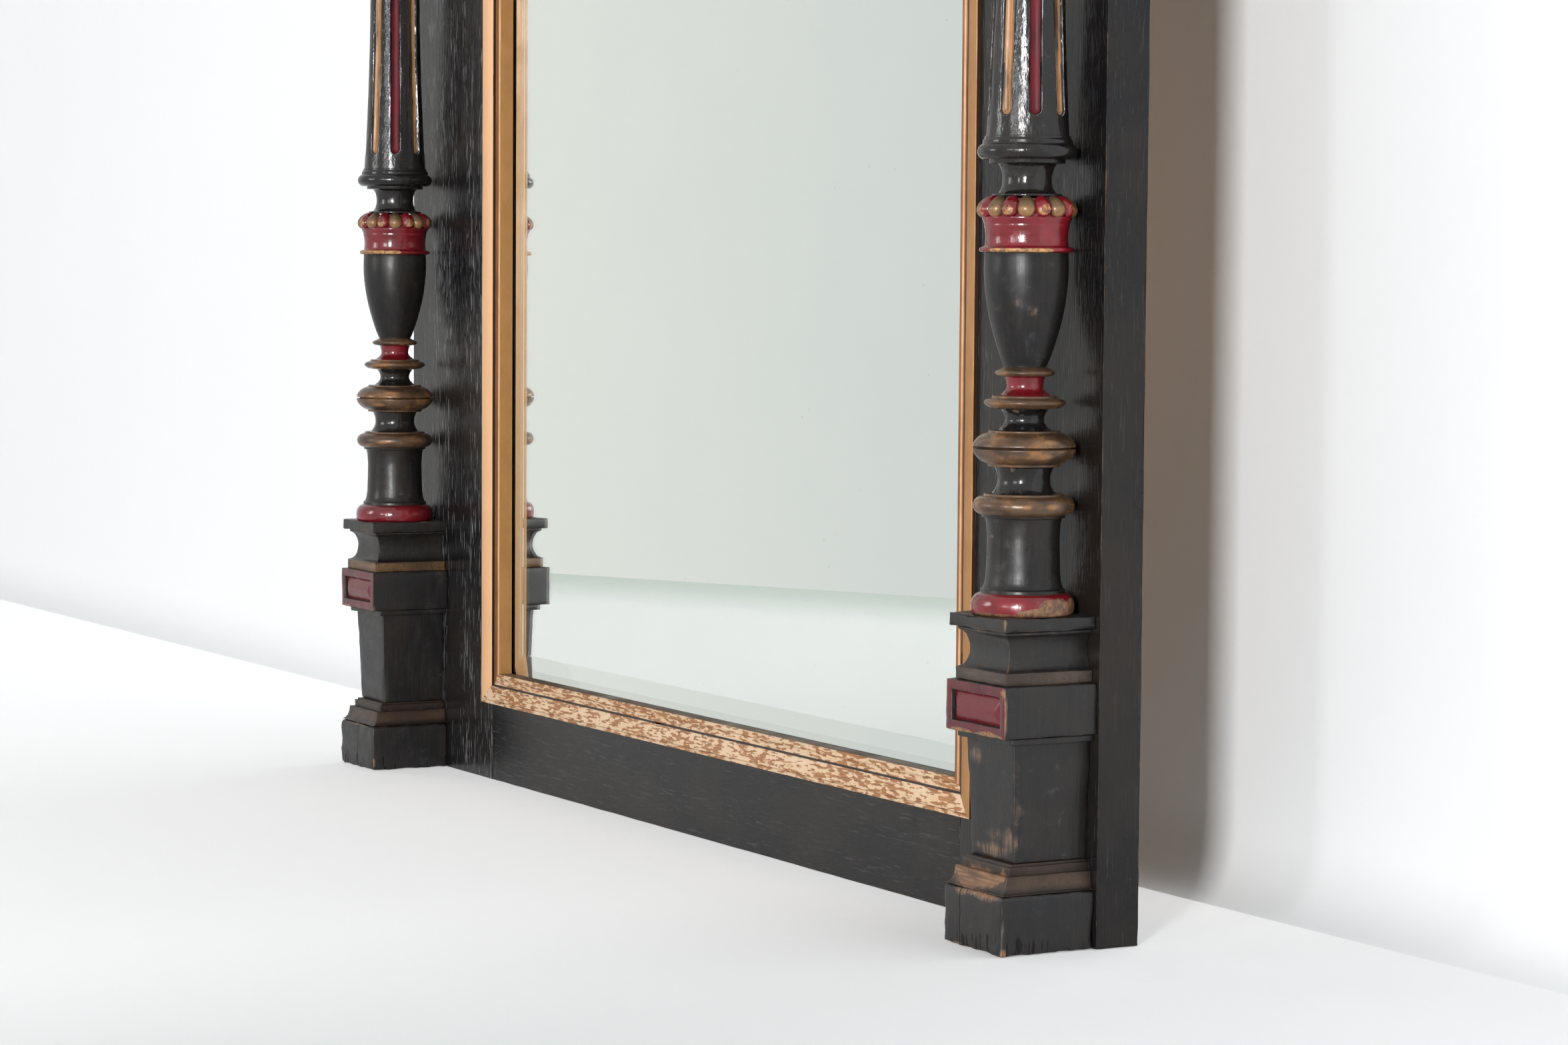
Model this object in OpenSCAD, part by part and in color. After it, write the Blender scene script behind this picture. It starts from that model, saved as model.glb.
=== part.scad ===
// Overmantel mirror in ebonised oak, standing on two plinths with turned columns.
// X runs to the right, the front faces -Y, Z is up. The frame's front face is Y = 0
// before the whole model is shifted so that its origin is the middle of its base.

/* [Frame] */
// Width across both stiles
frame_w = 1075; // [1040:5:1160]
// Thickness of the stiles and rails
frame_t = 32; // [30:1:38]
// Width of each stile
stile_w = 165; // [158:0.5:175]
// Height of the bottom rail
bottom_rail_h = 80.3; // [66:0.1:94]
// Height of the top rail seen between the opening and the architrave
top_margin = 47.6; // [36:0.2:80]
// Thickness of the rail tenons
tenon_t = 10; // [8:1:12]
// Length of the rail tenons
tenon_l = 60; // [40:1:80]
// Radius of the pegs through the tenons
peg_r = 4; // [3:0.5:5]
// Width of the rebate that takes the back boards
rebate_w = 12; // [10:1:16]
// Thickness of the back boards
board_t = 8; // [6:0.5:9]

/* [Slip and glass] */
// Width of the gilt slip's front
slip_w = 25.5; // [24:0.5:30]
// How far the slip laps over the frame
slip_lap = 16; // [12:0.5:17]
// How far the slip's outer edge stands proud
slip_proud = 6; // [4:0.25:8]
// Depth of the glass behind the frame's front face
glass_y = 11.5; // [10:0.5:14]
// Thickness of the glass
glass_t = 5.3; // [4:0.1:6]
// Width of the bevel
bevel_w = 25; // [15:1:30]
// Thickness of the glass at the bevel's edge
bevel_edge_t = 2.6; // [2:0.1:3.5]

/* [Plinths] */
// Distance of the column axes in from the frame's outer edges
column_inset = 37.5; // [35:0.5:44]
// Width of the base block
base_w = 70; // [67:0.5:76]
// Depth of the base block
base_d = 69.8; // [66:0.2:76]
// Height of the base block
base_h = 38; // [30:1:60]
// Height of the base moulding
base_mould_h = 18.8; // [14:0.4:24]
// Width of the pedestal at its top
pedestal_w = 56; // [52:0.2:60]
// Depth of the pedestal at its top
pedestal_d = 57.5; // [52:0.5:62]
// How much each pedestal face leans in towards the bottom
pedestal_taper = 3; // [0:0.2:6]
// Height of the pedestal
pedestal_h = 75.6; // [60:0.2:120]
// How far the step under the panel block stands out from the pedestal
step_out = 4.4; // [2:0.2:5]
// Height of the step under the panel block
step_h = 4.7; // [3:0.1:8]
// Height of the lower panel block
block_h = 32.8; // [28:0.1:50]
// Width of the panel blocks
block_w = 70.5; // [69:0.1:76]
// Depth of the panel blocks
block_d = 69.2; // [68:0.1:76]
// Height of the gilt band
band_h = 8; // [6:0.1:12]
// Height of the cove under the cap
cove_h = 25.8; // [18:0.1:34]
// Height of the cap plate
cap_h = 8.9; // [6:0.1:14]
// Width of the cap plate
cap_w = 66; // [66:0.5:74]
// Depth of the cap plate
cap_d = 68.4; // [66:0.2:74]

/* [Panels] */
// Width of the margin round a panel
panel_margin = 7; // [5:0.5:10]
// Depth of a panel's recess
panel_recess = 3.6; // [2:0.1:6]
// Width of the slope round a panel's field
panel_slope = 4.6; // [2:0.1:6]

/* [Columns] */
// Radius of the lower torus
torus_r = 33; // [30:0.5:33]
// Height of the lower torus
torus_h = 13.5; // [10:0.5:18]
// Radius of the drum
drum_r = 23.2; // [20:0.2:26]
// Height of the drum
drum_h = 48; // [36:1:70]
// Radius of the bronzed tori
bronze_r = 31.6; // [28:0.2:33]
// Height of the single bronzed torus
bronze_h = 12.6; // [9:0.2:16]
// Height of each half of the double torus
half_torus_h = 11.9; // [9:0.1:15]
// Height of the lower black neck
low_neck_h = 17; // [12:0.5:24]
// Radius of the lower black neck
low_neck_r = 15.7; // [14:0.1:20]
// Height of the upper black neck
high_neck_h = 13.2; // [9:0.2:20]
// Radius of the upper black neck
high_neck_r = 13.2; // [11:0.1:18]
// Radius of the thin bronze ring
ring_r = 24.4; // [20:0.2:28]
// Height of the thin bronze ring
ring_h = 8.2; // [5:0.2:12]
// Height of the red neck
red_neck_h = 12.8; // [9:0.2:20]
// Radius of the red neck
red_neck_r = 11.6; // [11:0.1:16]
// Radius of the ring under the urn
urn_ring_r = 18.5; // [15:0.5:24]
// Height of the ring under the urn
urn_ring_h = 6; // [4:0.2:9]
// Height of the urn
urn_h = 72.8; // [60:0.2:100]
// Largest radius of the urn
urn_r = 26.8; // [24:0.2:30]
// Radius of the urn's foot
urn_foot_r = 13; // [12:0.2:18]
// Radius of the red band above the urn
band_r = 26.6; // [24:0.2:29]
// Height of the red band, with its fillets
red_band_h = 23.6; // [18:0.2:34]
// Number of beads round the column
bead_count = 16; // [12:2:20]
// Radius of a bead
bead_r = 5.9; // [5:0.1:6.5]
// Radius out to the beads
bead_ring_r = 31.6; // [29:0.2:32.6]
// Height of the neck above the beads
collar_neck_h = 20.8; // [14:0.2:28]
// Radius of the neck above the beads
collar_neck_r = 15.7; // [14:0.1:20]
// Radius of the collar's torus
collar_r = 31.9; // [29:0.1:33]
// Height of the collar's torus, with its fillets
collar_h = 17.4; // [14:0.2:24]
// Length of the fluted shaft
shaft_l = 700; // [600:5:760]
// Radius of the shaft where it meets the collar
shaft_foot_r = 26.2; // [25:0.1:28]
// Radius of the shaft's upper part
shaft_r = 21.4; // [20:0.1:23]
// Length of the shaft's flared foot
flare_l = 190; // [150:5:240]
// Number of flutes
flute_count = 8; // [6:1:10]
// Radius of a flute
flute_r = 4.3; // [3:0.1:5]
// Distance of the flutes from the shaft's ends
flute_end = 12; // [8:1:30]
// Height of the capital
capital_h = 87; // [80:1:120]
// Radius of the dowels that join the sections
dowel_r = 6; // [4:0.5:7]

/* [Entablature] */
// Height of the abacus
abacus_h = 16; // [12:1:24]
// Height of the upper panel block
upper_block_h = 120; // [90:5:160]
// Height of the architrave strip
architrave_h = 24; // [18:1:34]
// Depth of the architrave strip
architrave_d = 16; // [12:1:22]
// Height of the frieze panel
frieze_h = 76; // [60:1:86]
// Thickness of the frieze panel
frieze_t = 9; // [7:0.5:14]
// Thickness of the soffit and top boards
cornice_board_t = 12; // [10:1:16]
// Height of the bed moulding
bed_h = 38; // [30:1:50]
// Projection of the bed moulding
bed_out = 22; // [16:1:30]
// Height of the corona
corona_h = 32; // [24:1:44]
// Height of the crown moulding
crown_h = 46; // [36:1:60]
// Projection of the crown moulding beyond the corona
crown_out = 26; // [18:1:34]
// Wall left round the hollow cornice
cornice_wall = 20; // [16:1:26]
// How far the holes of the wall plates lie beyond the frame's outer edges
wall_hole_out = 13; // [9:1:30]
// Radius of the holes in the wall plates
wall_hole_r = 2.75; // [2:0.25:3.5]

/* [Fit] */
// Gap left where one piece drops into another
fit = 0.2; // [0.1:0.05:0.3]
// Smoothness of the turned work
$fn = 64; // [48:16:96]

/* [Hidden] */
EPS = 0.02;
ARC = 8;
axis_x = frame_w / 2 - column_inset;
column_y = cap_d / 2;
opening_w = frame_w - 2 * stile_w;

// Levels from the floor up
base_mould_z = base_h;
pedestal_z = base_mould_z + base_mould_h;
step_z = pedestal_z + pedestal_h;
block_z = step_z + step_h;
band_z = block_z + block_h;
cap_z = band_z + band_h + cove_h;
foot_z = cap_z + cap_h;

// Levels in the column's foot, counted from the floor
drum_z = foot_z + torus_h;
drum_fillet_h = 2.6;
bronze_z = drum_z + drum_h;
low_neck_z = bronze_z + bronze_h;
double_z = low_neck_z + low_neck_h;
groove_z = double_z + half_torus_h;

// Levels in the column's urn section
high_neck_z = groove_z + half_torus_h;
ring_z = high_neck_z + high_neck_h;
red_neck_z = ring_z + ring_h;
urn_ring_z = red_neck_z + red_neck_h;
urn_z = urn_ring_z + urn_ring_h;
red_band_z = urn_z + urn_h;
bead_z = red_band_z + red_band_h;
bead_ring_h = 2 * bead_r + 0.8;

// Levels above the beads
collar_z = bead_z + bead_ring_h;
collar_torus_z = collar_z + collar_neck_h;
shaft_z = collar_torus_z + collar_h;
capital_z = shaft_z + shaft_l;
abacus_z = capital_z + capital_h;
upper_block_z = abacus_z + abacus_h;
opening_top = upper_block_z - top_margin;
opening_h = opening_top - bottom_rail_h;
cornice_z = upper_block_z + upper_block_h;
bed_z = cornice_z + cornice_board_t;
corona_z = bed_z + bed_h;
crown_z = corona_z + corona_h;
top_board_z = crown_z + crown_h;

// Spigot of the collar and the sockets that take it
spigot_r = 9.5;
spigot_l = bead_ring_h + 14;
dowel_l = 36;
dowel_edge = 0.6;

// Cornice plan, half widths and depths in front of the frame
soffit_half = frame_w / 2 + 3;
soffit_d = block_d + 4;
corona_half = soffit_half + bed_out;
corona_d = soffit_d + bed_out;
crown_half = corona_half + crown_out;
crown_d = corona_d + crown_out;

// The model's own depth, used to centre it front to back
front_y = -crown_d;
shift_y = -(front_y + frame_t) / 2;

// Glass plate and its seat behind the slip
glass_gap = 2.4;
glass_w = opening_w - 2 * glass_gap;
glass_h = opening_h - 2 * glass_gap;
glass_z = bottom_rail_h + glass_gap;
shim_t = frame_t - board_t - glass_y - glass_t - fit;
shim_l = 34;
shim_w = 16;

// Back boards, screws and plates
board_count = 4;
board_gap = 1;
boards_w = opening_w + 2 * rebate_w - 2 * fit;
boards_h = opening_h + 2 * rebate_w - 2 * fit;
board_h = (boards_h - (board_count - 1) * board_gap) / board_count;
boards_z = bottom_rail_h - rebate_w + fit;
screw_r = 1.6;
screw_head_r = 3.4;
screw_head_h = 2.2;
screw_l = 20;
plate_t = 2;
plate_h = 34;
plate_in = 46;
plate_edge = 11;
plate_w = wall_hole_out + plate_edge + plate_in;
plate_z = cornice_z - 60;
plate_screw_pitch = 18;

// Slip nails
nail_r = 0.8;
nail_l = 20;
nails_per_side = 4;
nail_sunk = 0.3;

ebony = "#232325";
oxblood = "#7a1426";
bronze = "#6b5134";
gold = "#c79b5c";
brass = "#b08d4a";
pine = "#b08a5a";

// Points of an arc from angle a0 to a1 about [cx, cy], stretched by [rx, ry]
function arc(cx, cy, rx, ry, a0, a1, n = ARC) =
    [for (i = [0 : n]) [cx + rx * cos(a0 + (a1 - a0) * i / n), cy + ry * sin(a0 + (a1 - a0) * i / n)]];

// Half-round bulge of a turned profile, from radius r_in out to r_out
function bulge(z, h, r_in, r_out) = arc(r_in, z + h / 2, r_out - r_in, h / 2, -90, 90, 10);

// Hollow of a turned profile, from radius r_out in to r_in
function hollow(z, h, r_out, r_in) = arc(r_out, z + h / 2, r_out - r_in, h / 2, -90, -270, 10);

// Solid turned from profile points [radius, z], closed on the axis
module turned(points) {
    rotate_extrude() polygon(concat([[0, points[0][1]]], points, [[0, points[len(points) - 1][1]]]));
}

// Block whose front and two sides follow one profile of [inset, z] points, with a flat back at Y = back
// and the front's insets stretched by front_k
module moulded_block(w, d, profile, back = 0, front_k = 1) {
    n = len(profile) - 1;
    intersection() {
        rotate([90, 0, 0]) translate([0, 0, -back]) linear_extrude(d + back)
            polygon(concat([for (p = profile) [w / 2 - p[0], p[1]]],
                           [for (i = [n : -1 : 0]) [profile[i][0] - w / 2, profile[i][1]]]));
        rotate([90, 0, 90]) translate([0, 0, -w / 2]) linear_extrude(w)
            polygon(concat([for (p = profile) [p[0] * front_k - d, p[1]]],
                           [[back, profile[n][1]], [back, profile[0][1]]]));
    }
}

// Raised field with four sloping sides, its back at Y = 0 and its face at Y = -t
module raised_field(w, h, t, slope) {
    edge = t * 0.25;
    intersection() {
        translate([0, 0, -h / 2]) linear_extrude(h)
            polygon([[-w / 2, 0], [-w / 2, -edge], [slope - w / 2, -t], [w / 2 - slope, -t],
                     [w / 2, -edge], [w / 2, 0]]);
        rotate([90, 0, 90]) translate([0, 0, -w / 2]) linear_extrude(w)
            polygon([[0, -h / 2], [-edge, -h / 2], [-t, slope - h / 2], [-t, h / 2 - slope],
                     [-edge, h / 2], [0, h / 2]]);
    }
}

// Moves a piece into the model's own frame
module placed() {
    translate([0, shift_y, 0]) children();
}

// Moves a column or plinth piece to its side, -1 for left and 1 for right
module on_axis(side) {
    translate([side * axis_x, 0, 0]) children();
}

// Cylinder along Y from y0 to y1
module y_rod(r, y0, y1) {
    translate([0, y1, 0]) rotate([90, 0, 0]) cylinder(r = r, h = y1 - y0);
}

// ---- Frame ----

// Tenons of both rails, grown by gap for the mortises
module tenons(gap) {
    for (side = [-1, 1], rail = [[bottom_rail_h, 0], [cornice_z - opening_top, opening_top]]) {
        h = rail[0] * 0.6;
        translate([side * (opening_w / 2 + tenon_l / 2 - 1), frame_t / 2, rail[1] + rail[0] / 2])
            cube([tenon_l + 2 + 2 * gap, tenon_t + 2 * gap, h + 2 * gap], center = true);
    }
}

peg_y0 = frame_t / 2 - tenon_t / 2 - 4;

// Pegs from the back through the tenons
module pegs() {
    for (side = [-1, 1], z = [bottom_rail_h / 2, opening_top + (cornice_z - opening_top) * 0.3,
                              opening_top + (cornice_z - opening_top) * 0.7])
        translate([side * (opening_w / 2 + tenon_l / 2), 0, z]) y_rod(peg_r, peg_y0, frame_t);
}

// Rebate cut round the opening's back
module rebate() {
    translate([-opening_w / 2 - rebate_w, frame_t - board_t, bottom_rail_h - rebate_w])
        cube([opening_w + 2 * rebate_w, board_t + 1, opening_h + 2 * rebate_w]);
}

// Nails that hold the slip to the edge of the frame, from a depth under the slip's inner face
module nails(start) {
    y = glass_y * 0.62;
    inner = slip_w - slip_lap - start;
    reach = nail_l - start;
    for (side = [-1, 1], i = [0 : nails_per_side - 1])
        translate([side * (opening_w / 2 - inner), y, bottom_rail_h + opening_h * (i + 0.5) / nails_per_side])
            rotate([0, side * 90, 0]) cylinder(r = nail_r, h = reach, $fn = 16);
    for (i = [0 : nails_per_side - 2]) {
        x = opening_w * ((i + 0.5) / (nails_per_side - 1) - 0.5);
        translate([x, y, bottom_rail_h + inner]) rotate([180, 0, 0])
            cylinder(r = nail_r, h = reach, $fn = 16);
        translate([x, y, opening_top - inner]) cylinder(r = nail_r, h = reach, $fn = 16);
    }
}

// Screws that hold the back boards
module screws() {
    for (side = [-1, 1], i = [0 : board_count - 1], k = [0.2, 0.8])
        translate([side * (opening_w + rebate_w) / 2, 0,
                   boards_z + i * (board_h + board_gap) + k * board_h]) {
            y_rod(screw_r, frame_t - screw_l, frame_t);
            y_rod(screw_head_r, frame_t - screw_head_h, frame_t);
        }
}

// Wall plates on the back, with their fixing screws
module plate_blank(gap) {
    for (side = [-1, 1])
        translate([side * (frame_w / 2 - plate_in + plate_w / 2), frame_t - plate_t / 2, plate_z])
            cube([plate_w + 2 * gap, plate_t + 2 * EPS * sign(gap), plate_h + 2 * gap], center = true);
}

module plate_screws() {
    for (side = [-1, 1], k = [-1, 1])
        translate([side * (frame_w / 2 - plate_in * 0.6 + k * plate_screw_pitch / 2), 0, plate_z + k * 6])
            y_rod(screw_r, frame_t - screw_l, frame_t);
}

module stile(side) {
    x0 = side < 0 ? -frame_w / 2 : frame_w / 2 - stile_w;
    color(ebony) placed() difference() {
        translate([x0, 0, 0]) cube([stile_w, frame_t, cornice_z]);
        tenons(fit);
        rebate();
        pegs();
        nails(-1);
        screws();
        plate_blank(fit);
        plate_screws();
    }
}

// Rail between the stiles, with its two tenons
module rail(z0, z1) {
    color(ebony) placed() difference() {
        union() {
            translate([-opening_w / 2, 0, z0]) cube([opening_w, frame_t, z1 - z0]);
            intersection() {
                tenons(0);
                translate([-frame_w / 2, 0, z0]) cube([frame_w, frame_t, z1 - z0]);
            }
        }
        rebate();
        pegs();
        nails(-1);
    }
}

module stile_left() { stile(-1); }
module stile_right() { stile(1); }
module bottom_rail() { rail(0, bottom_rail_h); }
module top_rail() { rail(opening_top, cornice_z); }
module tenon_pegs() { color(pine) placed() pegs(); }

// ---- Gilt slip and glass ----

slip_fillet_w = 2.4;
slip_quirk_w = 1.3;
slip_bead_w = 3.8;
slip_fall = 6.6;
slip_body = slip_lap + fit;
slip_flat_end = slip_w - slip_bead_w - slip_quirk_w;

// Depth of the bevel's face at a distance in from the slip's outer edge
function bevel_y(s) =
    glass_y + (glass_t - bevel_edge_t) * (slip_lap + glass_gap + bevel_w - s) / bevel_w;

// Section of the slip: first the distance in from its outer edge, then the depth
slip_section = concat(
    [[0, 0], [0, -slip_proud], [slip_fillet_w, -slip_proud], [slip_fillet_w, 0.9 - slip_proud],
     [slip_flat_end, slip_fall - slip_proud - 0.9], [slip_flat_end, slip_fall - slip_proud + 0.8],
     [slip_flat_end + slip_quirk_w, slip_fall - slip_proud + 0.8]],
    arc(slip_w - slip_bead_w / 2, slip_fall - slip_proud + 0.4, slip_bead_w / 2, 1.5, -180, 0, 6),
    [[slip_w, bevel_y(slip_w)], [slip_body, bevel_y(slip_body)], [slip_body, 0]]);

// One slip lying along X with its outer edge on Z = 0, mitred at both ends, of the given outer length
module slip(length) {
    intersection() {
        rotate([90, 0, 90]) translate([0, 0, -length / 2]) linear_extrude(length)
            polygon([for (p = slip_section) [p[1], p[0]]]);
        rotate([90, 0, 0]) translate([0, 0, -glass_y - glass_t])
            linear_extrude(glass_y + glass_t + slip_proud + 1)
                polygon([[-length / 2, 0], [length / 2, 0], [length / 2 - slip_w, slip_w],
                         [slip_w - length / 2, slip_w]]);
    }
}

slip_outer_w = opening_w + 2 * slip_lap;
slip_outer_h = opening_h + 2 * slip_lap;

module slip_side(side) {
    color(gold) placed() difference() {
        translate([side * slip_outer_w / 2, 0, bottom_rail_h + opening_h / 2])
            rotate([0, -side * 90, 0]) slip(slip_outer_h);
        nails(-1);
    }
}

module slip_left() { slip_side(-1); }
module slip_right() { slip_side(1); }

module slip_bottom() {
    color(gold) placed() difference() {
        translate([0, 0, bottom_rail_h - slip_lap]) slip(slip_outer_w);
        nails(-1);
    }
}

module slip_top() {
    color(gold) placed() difference() {
        translate([0, 0, opening_top + slip_lap]) rotate([0, 180, 0]) slip(slip_outer_w);
        nails(-1);
    }
}

module slip_nails() { color(brass) placed() nails(nail_sunk); }

module mirror_glass() {
    color("#c9d6d0") placed() translate([0, glass_y + glass_t, glass_z + glass_h / 2]) intersection() {
        translate([0, 0, -glass_h / 2]) linear_extrude(glass_h)
            polygon([[-glass_w / 2, 0], [-glass_w / 2, -bevel_edge_t], [bevel_w - glass_w / 2, -glass_t],
                     [glass_w / 2 - bevel_w, -glass_t], [glass_w / 2, -bevel_edge_t], [glass_w / 2, 0]]);
        rotate([90, 0, 90]) translate([0, 0, -glass_w / 2]) linear_extrude(glass_w)
            polygon([[0, -glass_h / 2], [-bevel_edge_t, -glass_h / 2], [-glass_t, bevel_w - glass_h / 2],
                     [-glass_t, glass_h / 2 - bevel_w], [-bevel_edge_t, glass_h / 2], [0, glass_h / 2]]);
    }
}

// Small pine shims between the glass and the back boards
module glass_shims() {
    color(pine) placed() translate([0, glass_y + glass_t, 0]) {
        for (side = [-1, 1], i = [0 : board_count - 1])
            translate([side * (opening_w / 2 - shim_w / 2 - glass_gap), shim_t / 2,
                       boards_z + (i + 0.5) * (board_h + board_gap)])
                cube([shim_w, shim_t, shim_l], center = true);
        for (x = [-opening_w / 4, opening_w / 4], z = [bottom_rail_h + glass_gap + shim_w / 2,
                                                      opening_top - glass_gap - shim_w / 2])
            translate([x, shim_t / 2, z]) cube([shim_l, shim_t, shim_w], center = true);
    }
}

module back_board(i) {
    color(pine) placed() difference() {
        translate([-boards_w / 2, frame_t - board_t, boards_z + (i - 1) * (board_h + board_gap)])
            cube([boards_w, board_t, board_h]);
        screws();
    }
}

module back_board_1() { back_board(1); }
module back_board_2() { back_board(2); }
module back_board_3() { back_board(3); }
module back_board_4() { back_board(4); }
module board_screws() { color(brass) placed() screws(); }

// ---- Plinths ----

module base_block(side) {
    cut = 2.4;
    color(ebony) placed() on_axis(side)
        moulded_block(base_w, base_d, [[0, 0], [0, base_h - cut], [cut * 0.4, base_h]]);
}

// Hollow moulding on the base block, under a flat band and a thin fillet
module base_moulding(side) {
    lip = 0.9;
    fillet_h = 1.6;
    flat_h = 5.4;
    fillet_in = (base_w - pedestal_w) / 2 + pedestal_taper - 1.1;
    front_in = base_d - pedestal_d + pedestal_taper - 3.3;
    flat_in = fillet_in - 1.6;
    hollow_in = flat_in - 2.8;
    fillet_z = pedestal_z - fillet_h;
    flat_z = fillet_z - flat_h;
    color(bronze) placed() on_axis(side)
        moulded_block(base_w, base_d, concat(
            [[lip * 0.6, base_mould_z]],
            arc(lip, flat_z, hollow_in - lip, flat_z - base_mould_z - lip, -90, 0, 7),
            [[flat_in, flat_z], [flat_in, fillet_z], [fillet_in, fillet_z], [fillet_in, pedestal_z]]),
            front_k = front_in / fillet_in);
}

// Pedestal that narrows downwards, with a small step under the panel block
module pedestal(side) {
    color(ebony) placed() on_axis(side)
        moulded_block(pedestal_w + 2 * step_out, pedestal_d + step_out,
                      [[pedestal_taper + step_out, pedestal_z], [step_out, step_z],
                       [0, step_z], [0, block_z]]);
}

// Recess in the front of a panel block, for a field
module panel_recess_cut(w, d, z, h) {
    translate([panel_margin - w / 2, -d - 1, z + panel_margin])
        cube([w - 2 * panel_margin, panel_recess + 1, h - 2 * panel_margin]);
}

// Raised field seated in the recess of a panel block
module panel_field(w, d, z, h) {
    translate([0, panel_recess - d, z + h / 2])
        raised_field(w - 2 * panel_margin - 2 * fit, h - 2 * panel_margin - 2 * fit,
                     panel_recess - 0.5, panel_slope);
}

module panel_block(side) {
    color(ebony) placed() on_axis(side) difference() {
        moulded_block(block_w, block_d, [[0, block_z], [0, band_z]]);
        panel_recess_cut(block_w, block_d, block_z, block_h);
    }
}

module lower_field(side) {
    color(oxblood) placed() on_axis(side) panel_field(block_w, block_d, block_z, block_h);
}

// Gilt band and cove, cut from one piece
module cove_moulding(side) {
    band_in = (cap_w - block_w) / 2 + 5.2;
    lip_in = 4;
    cove_in = 5.6;
    cove_z = band_z + band_h;
    color(ebony) placed() on_axis(side)
        moulded_block(cap_w, cap_d, concat(
            [[band_in, band_z], [band_in, cove_z]],
            arc(lip_in, cove_z + cove_h / 2 - 0.8, cove_in, cove_h / 2 - 1.4, -84, 84, 10),
            [[lip_in, cap_z - 1.6], [lip_in, cap_z]]));
}

module cap_plate(side) {
    color(ebony) placed() on_axis(side) difference() {
        moulded_block(cap_w, cap_d, [[0.6, cap_z], [0, cap_z + 0.6], [0, foot_z - 0.4], [0.4, foot_z]]);
        dowels();
    }
}

module base_block_left() { base_block(-1); }
module base_block_right() { base_block(1); }
module base_moulding_left() { base_moulding(-1); }
module base_moulding_right() { base_moulding(1); }
module pedestal_left() { pedestal(-1); }
module pedestal_right() { pedestal(1); }
module panel_block_left() { panel_block(-1); }
module panel_block_right() { panel_block(1); }
module panel_field_left() { lower_field(-1); }
module panel_field_right() { lower_field(1); }
module cove_moulding_left() { cove_moulding(-1); }
module cove_moulding_right() { cove_moulding(1); }
module cap_plate_left() { cap_plate(-1); }
module cap_plate_right() { cap_plate(1); }

// ---- Turned columns ----

// Dowels on one column's axis, at the joints between its sections
module dowels() {
    translate([0, -column_y, 0]) {
        translate([0, 0, cap_z + dowel_edge]) cylinder(r = dowel_r, h = cap_h + dowel_l / 2);
        for (z = [groove_z, shaft_z, capital_z])
            translate([0, 0, z - dowel_l / 2]) cylinder(r = dowel_r, h = dowel_l);
    }
}

module on_column(side) {
    placed() on_axis(side) difference() {
        translate([0, -column_y, 0]) children();
        dowels();
    }
}

foot_profile = concat(
    bulge(foot_z, torus_h, torus_r - 6, torus_r),
    [[drum_r + 4.6, drum_z], [drum_r + 4.4, drum_z + 1.4], [drum_r + 2.2, drum_z + 5],
     [drum_r + 0.8, drum_z + 11], [drum_r + 0.2, drum_z + 20], [drum_r, bronze_z - 12],
     [drum_r + 0.9, bronze_z - drum_fillet_h], [drum_r + 3, bronze_z - drum_fillet_h],
     [drum_r + 3, bronze_z]],
    bulge(bronze_z, bronze_h, bronze_r - 5.6, bronze_r),
    [[low_neck_r + 7.6, low_neck_z], [low_neck_r + 7.6, low_neck_z + 1]],
    hollow(low_neck_z + 1, low_neck_h - 2, low_neck_r + 6.4, low_neck_r),
    [[low_neck_r + 7.6, double_z - 1], [low_neck_r + 7.6, double_z]],
    arc(bronze_r - 6, groove_z - 1, 6.6, half_torus_h - 1, -90, -14, 7),
    [[bronze_r - 1.4, groove_z]]);

module column_foot(side) {
    color(ebony) on_column(side) turned(foot_profile);
}

urn_profile = concat(
    [[bronze_r - 1.4, groove_z]],
    arc(bronze_r - 6, groove_z + 1, 6.6, half_torus_h - 1, 14, 90, 7),
    [[high_neck_r + 9.6, high_neck_z], [high_neck_r + 9.6, high_neck_z + 0.8]],
    hollow(high_neck_z + 0.8, high_neck_h - 1.6, high_neck_r + 5.4, high_neck_r),
    [[high_neck_r + 6.6, ring_z - 0.8], [high_neck_r + 6.6, ring_z]],
    bulge(ring_z, ring_h - 1.4, ring_r - 5, ring_r),
    [[red_neck_r + 7.8, red_neck_z - 1.4], [red_neck_r + 7.8, red_neck_z]],
    hollow(red_neck_z, red_neck_h, red_neck_r + 4.4, red_neck_r),
    bulge(urn_ring_z, urn_ring_h, urn_ring_r - 3.6, urn_ring_r),
    [for (i = [0 : 12]) urn_point(i / 12)],
    [[urn_r + 1.2, red_band_z], [urn_r + 3.5, red_band_z + 1], [urn_r + 3.5, red_band_z + 2.6],
     [band_r + 0.8, red_band_z + 4.4]],
    hollow(red_band_z + 4.4, red_band_h - 10, band_r + 0.4, band_r - 1.2),
    [[band_r + 1.2, bead_z - 5.6], [band_r + 1.2, bead_z - 4.4], [band_r + 2.8, bead_z - 2],
     [band_r + 2.8, bead_z]]);

// Urn outline: a full quarter sweep from its foot to its shoulder, drawn in a little at the top
function urn_point(t) =
    [urn_foot_r + (urn_r - urn_foot_r) * pow(sin(90 * min(1, t * 1.12)), 0.86) - 3.3 * max(0, t - 0.85),
     urn_z + urn_h * t];

module column_urn(side) {
    color(ebony) placed() on_axis(side) difference() {
        translate([0, -column_y, 0]) turned(urn_profile);
        dowels();
        translate([0, -column_y, collar_z - spigot_l]) cylinder(r = spigot_r + fit, h = spigot_l + 1);
    }
}

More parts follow.
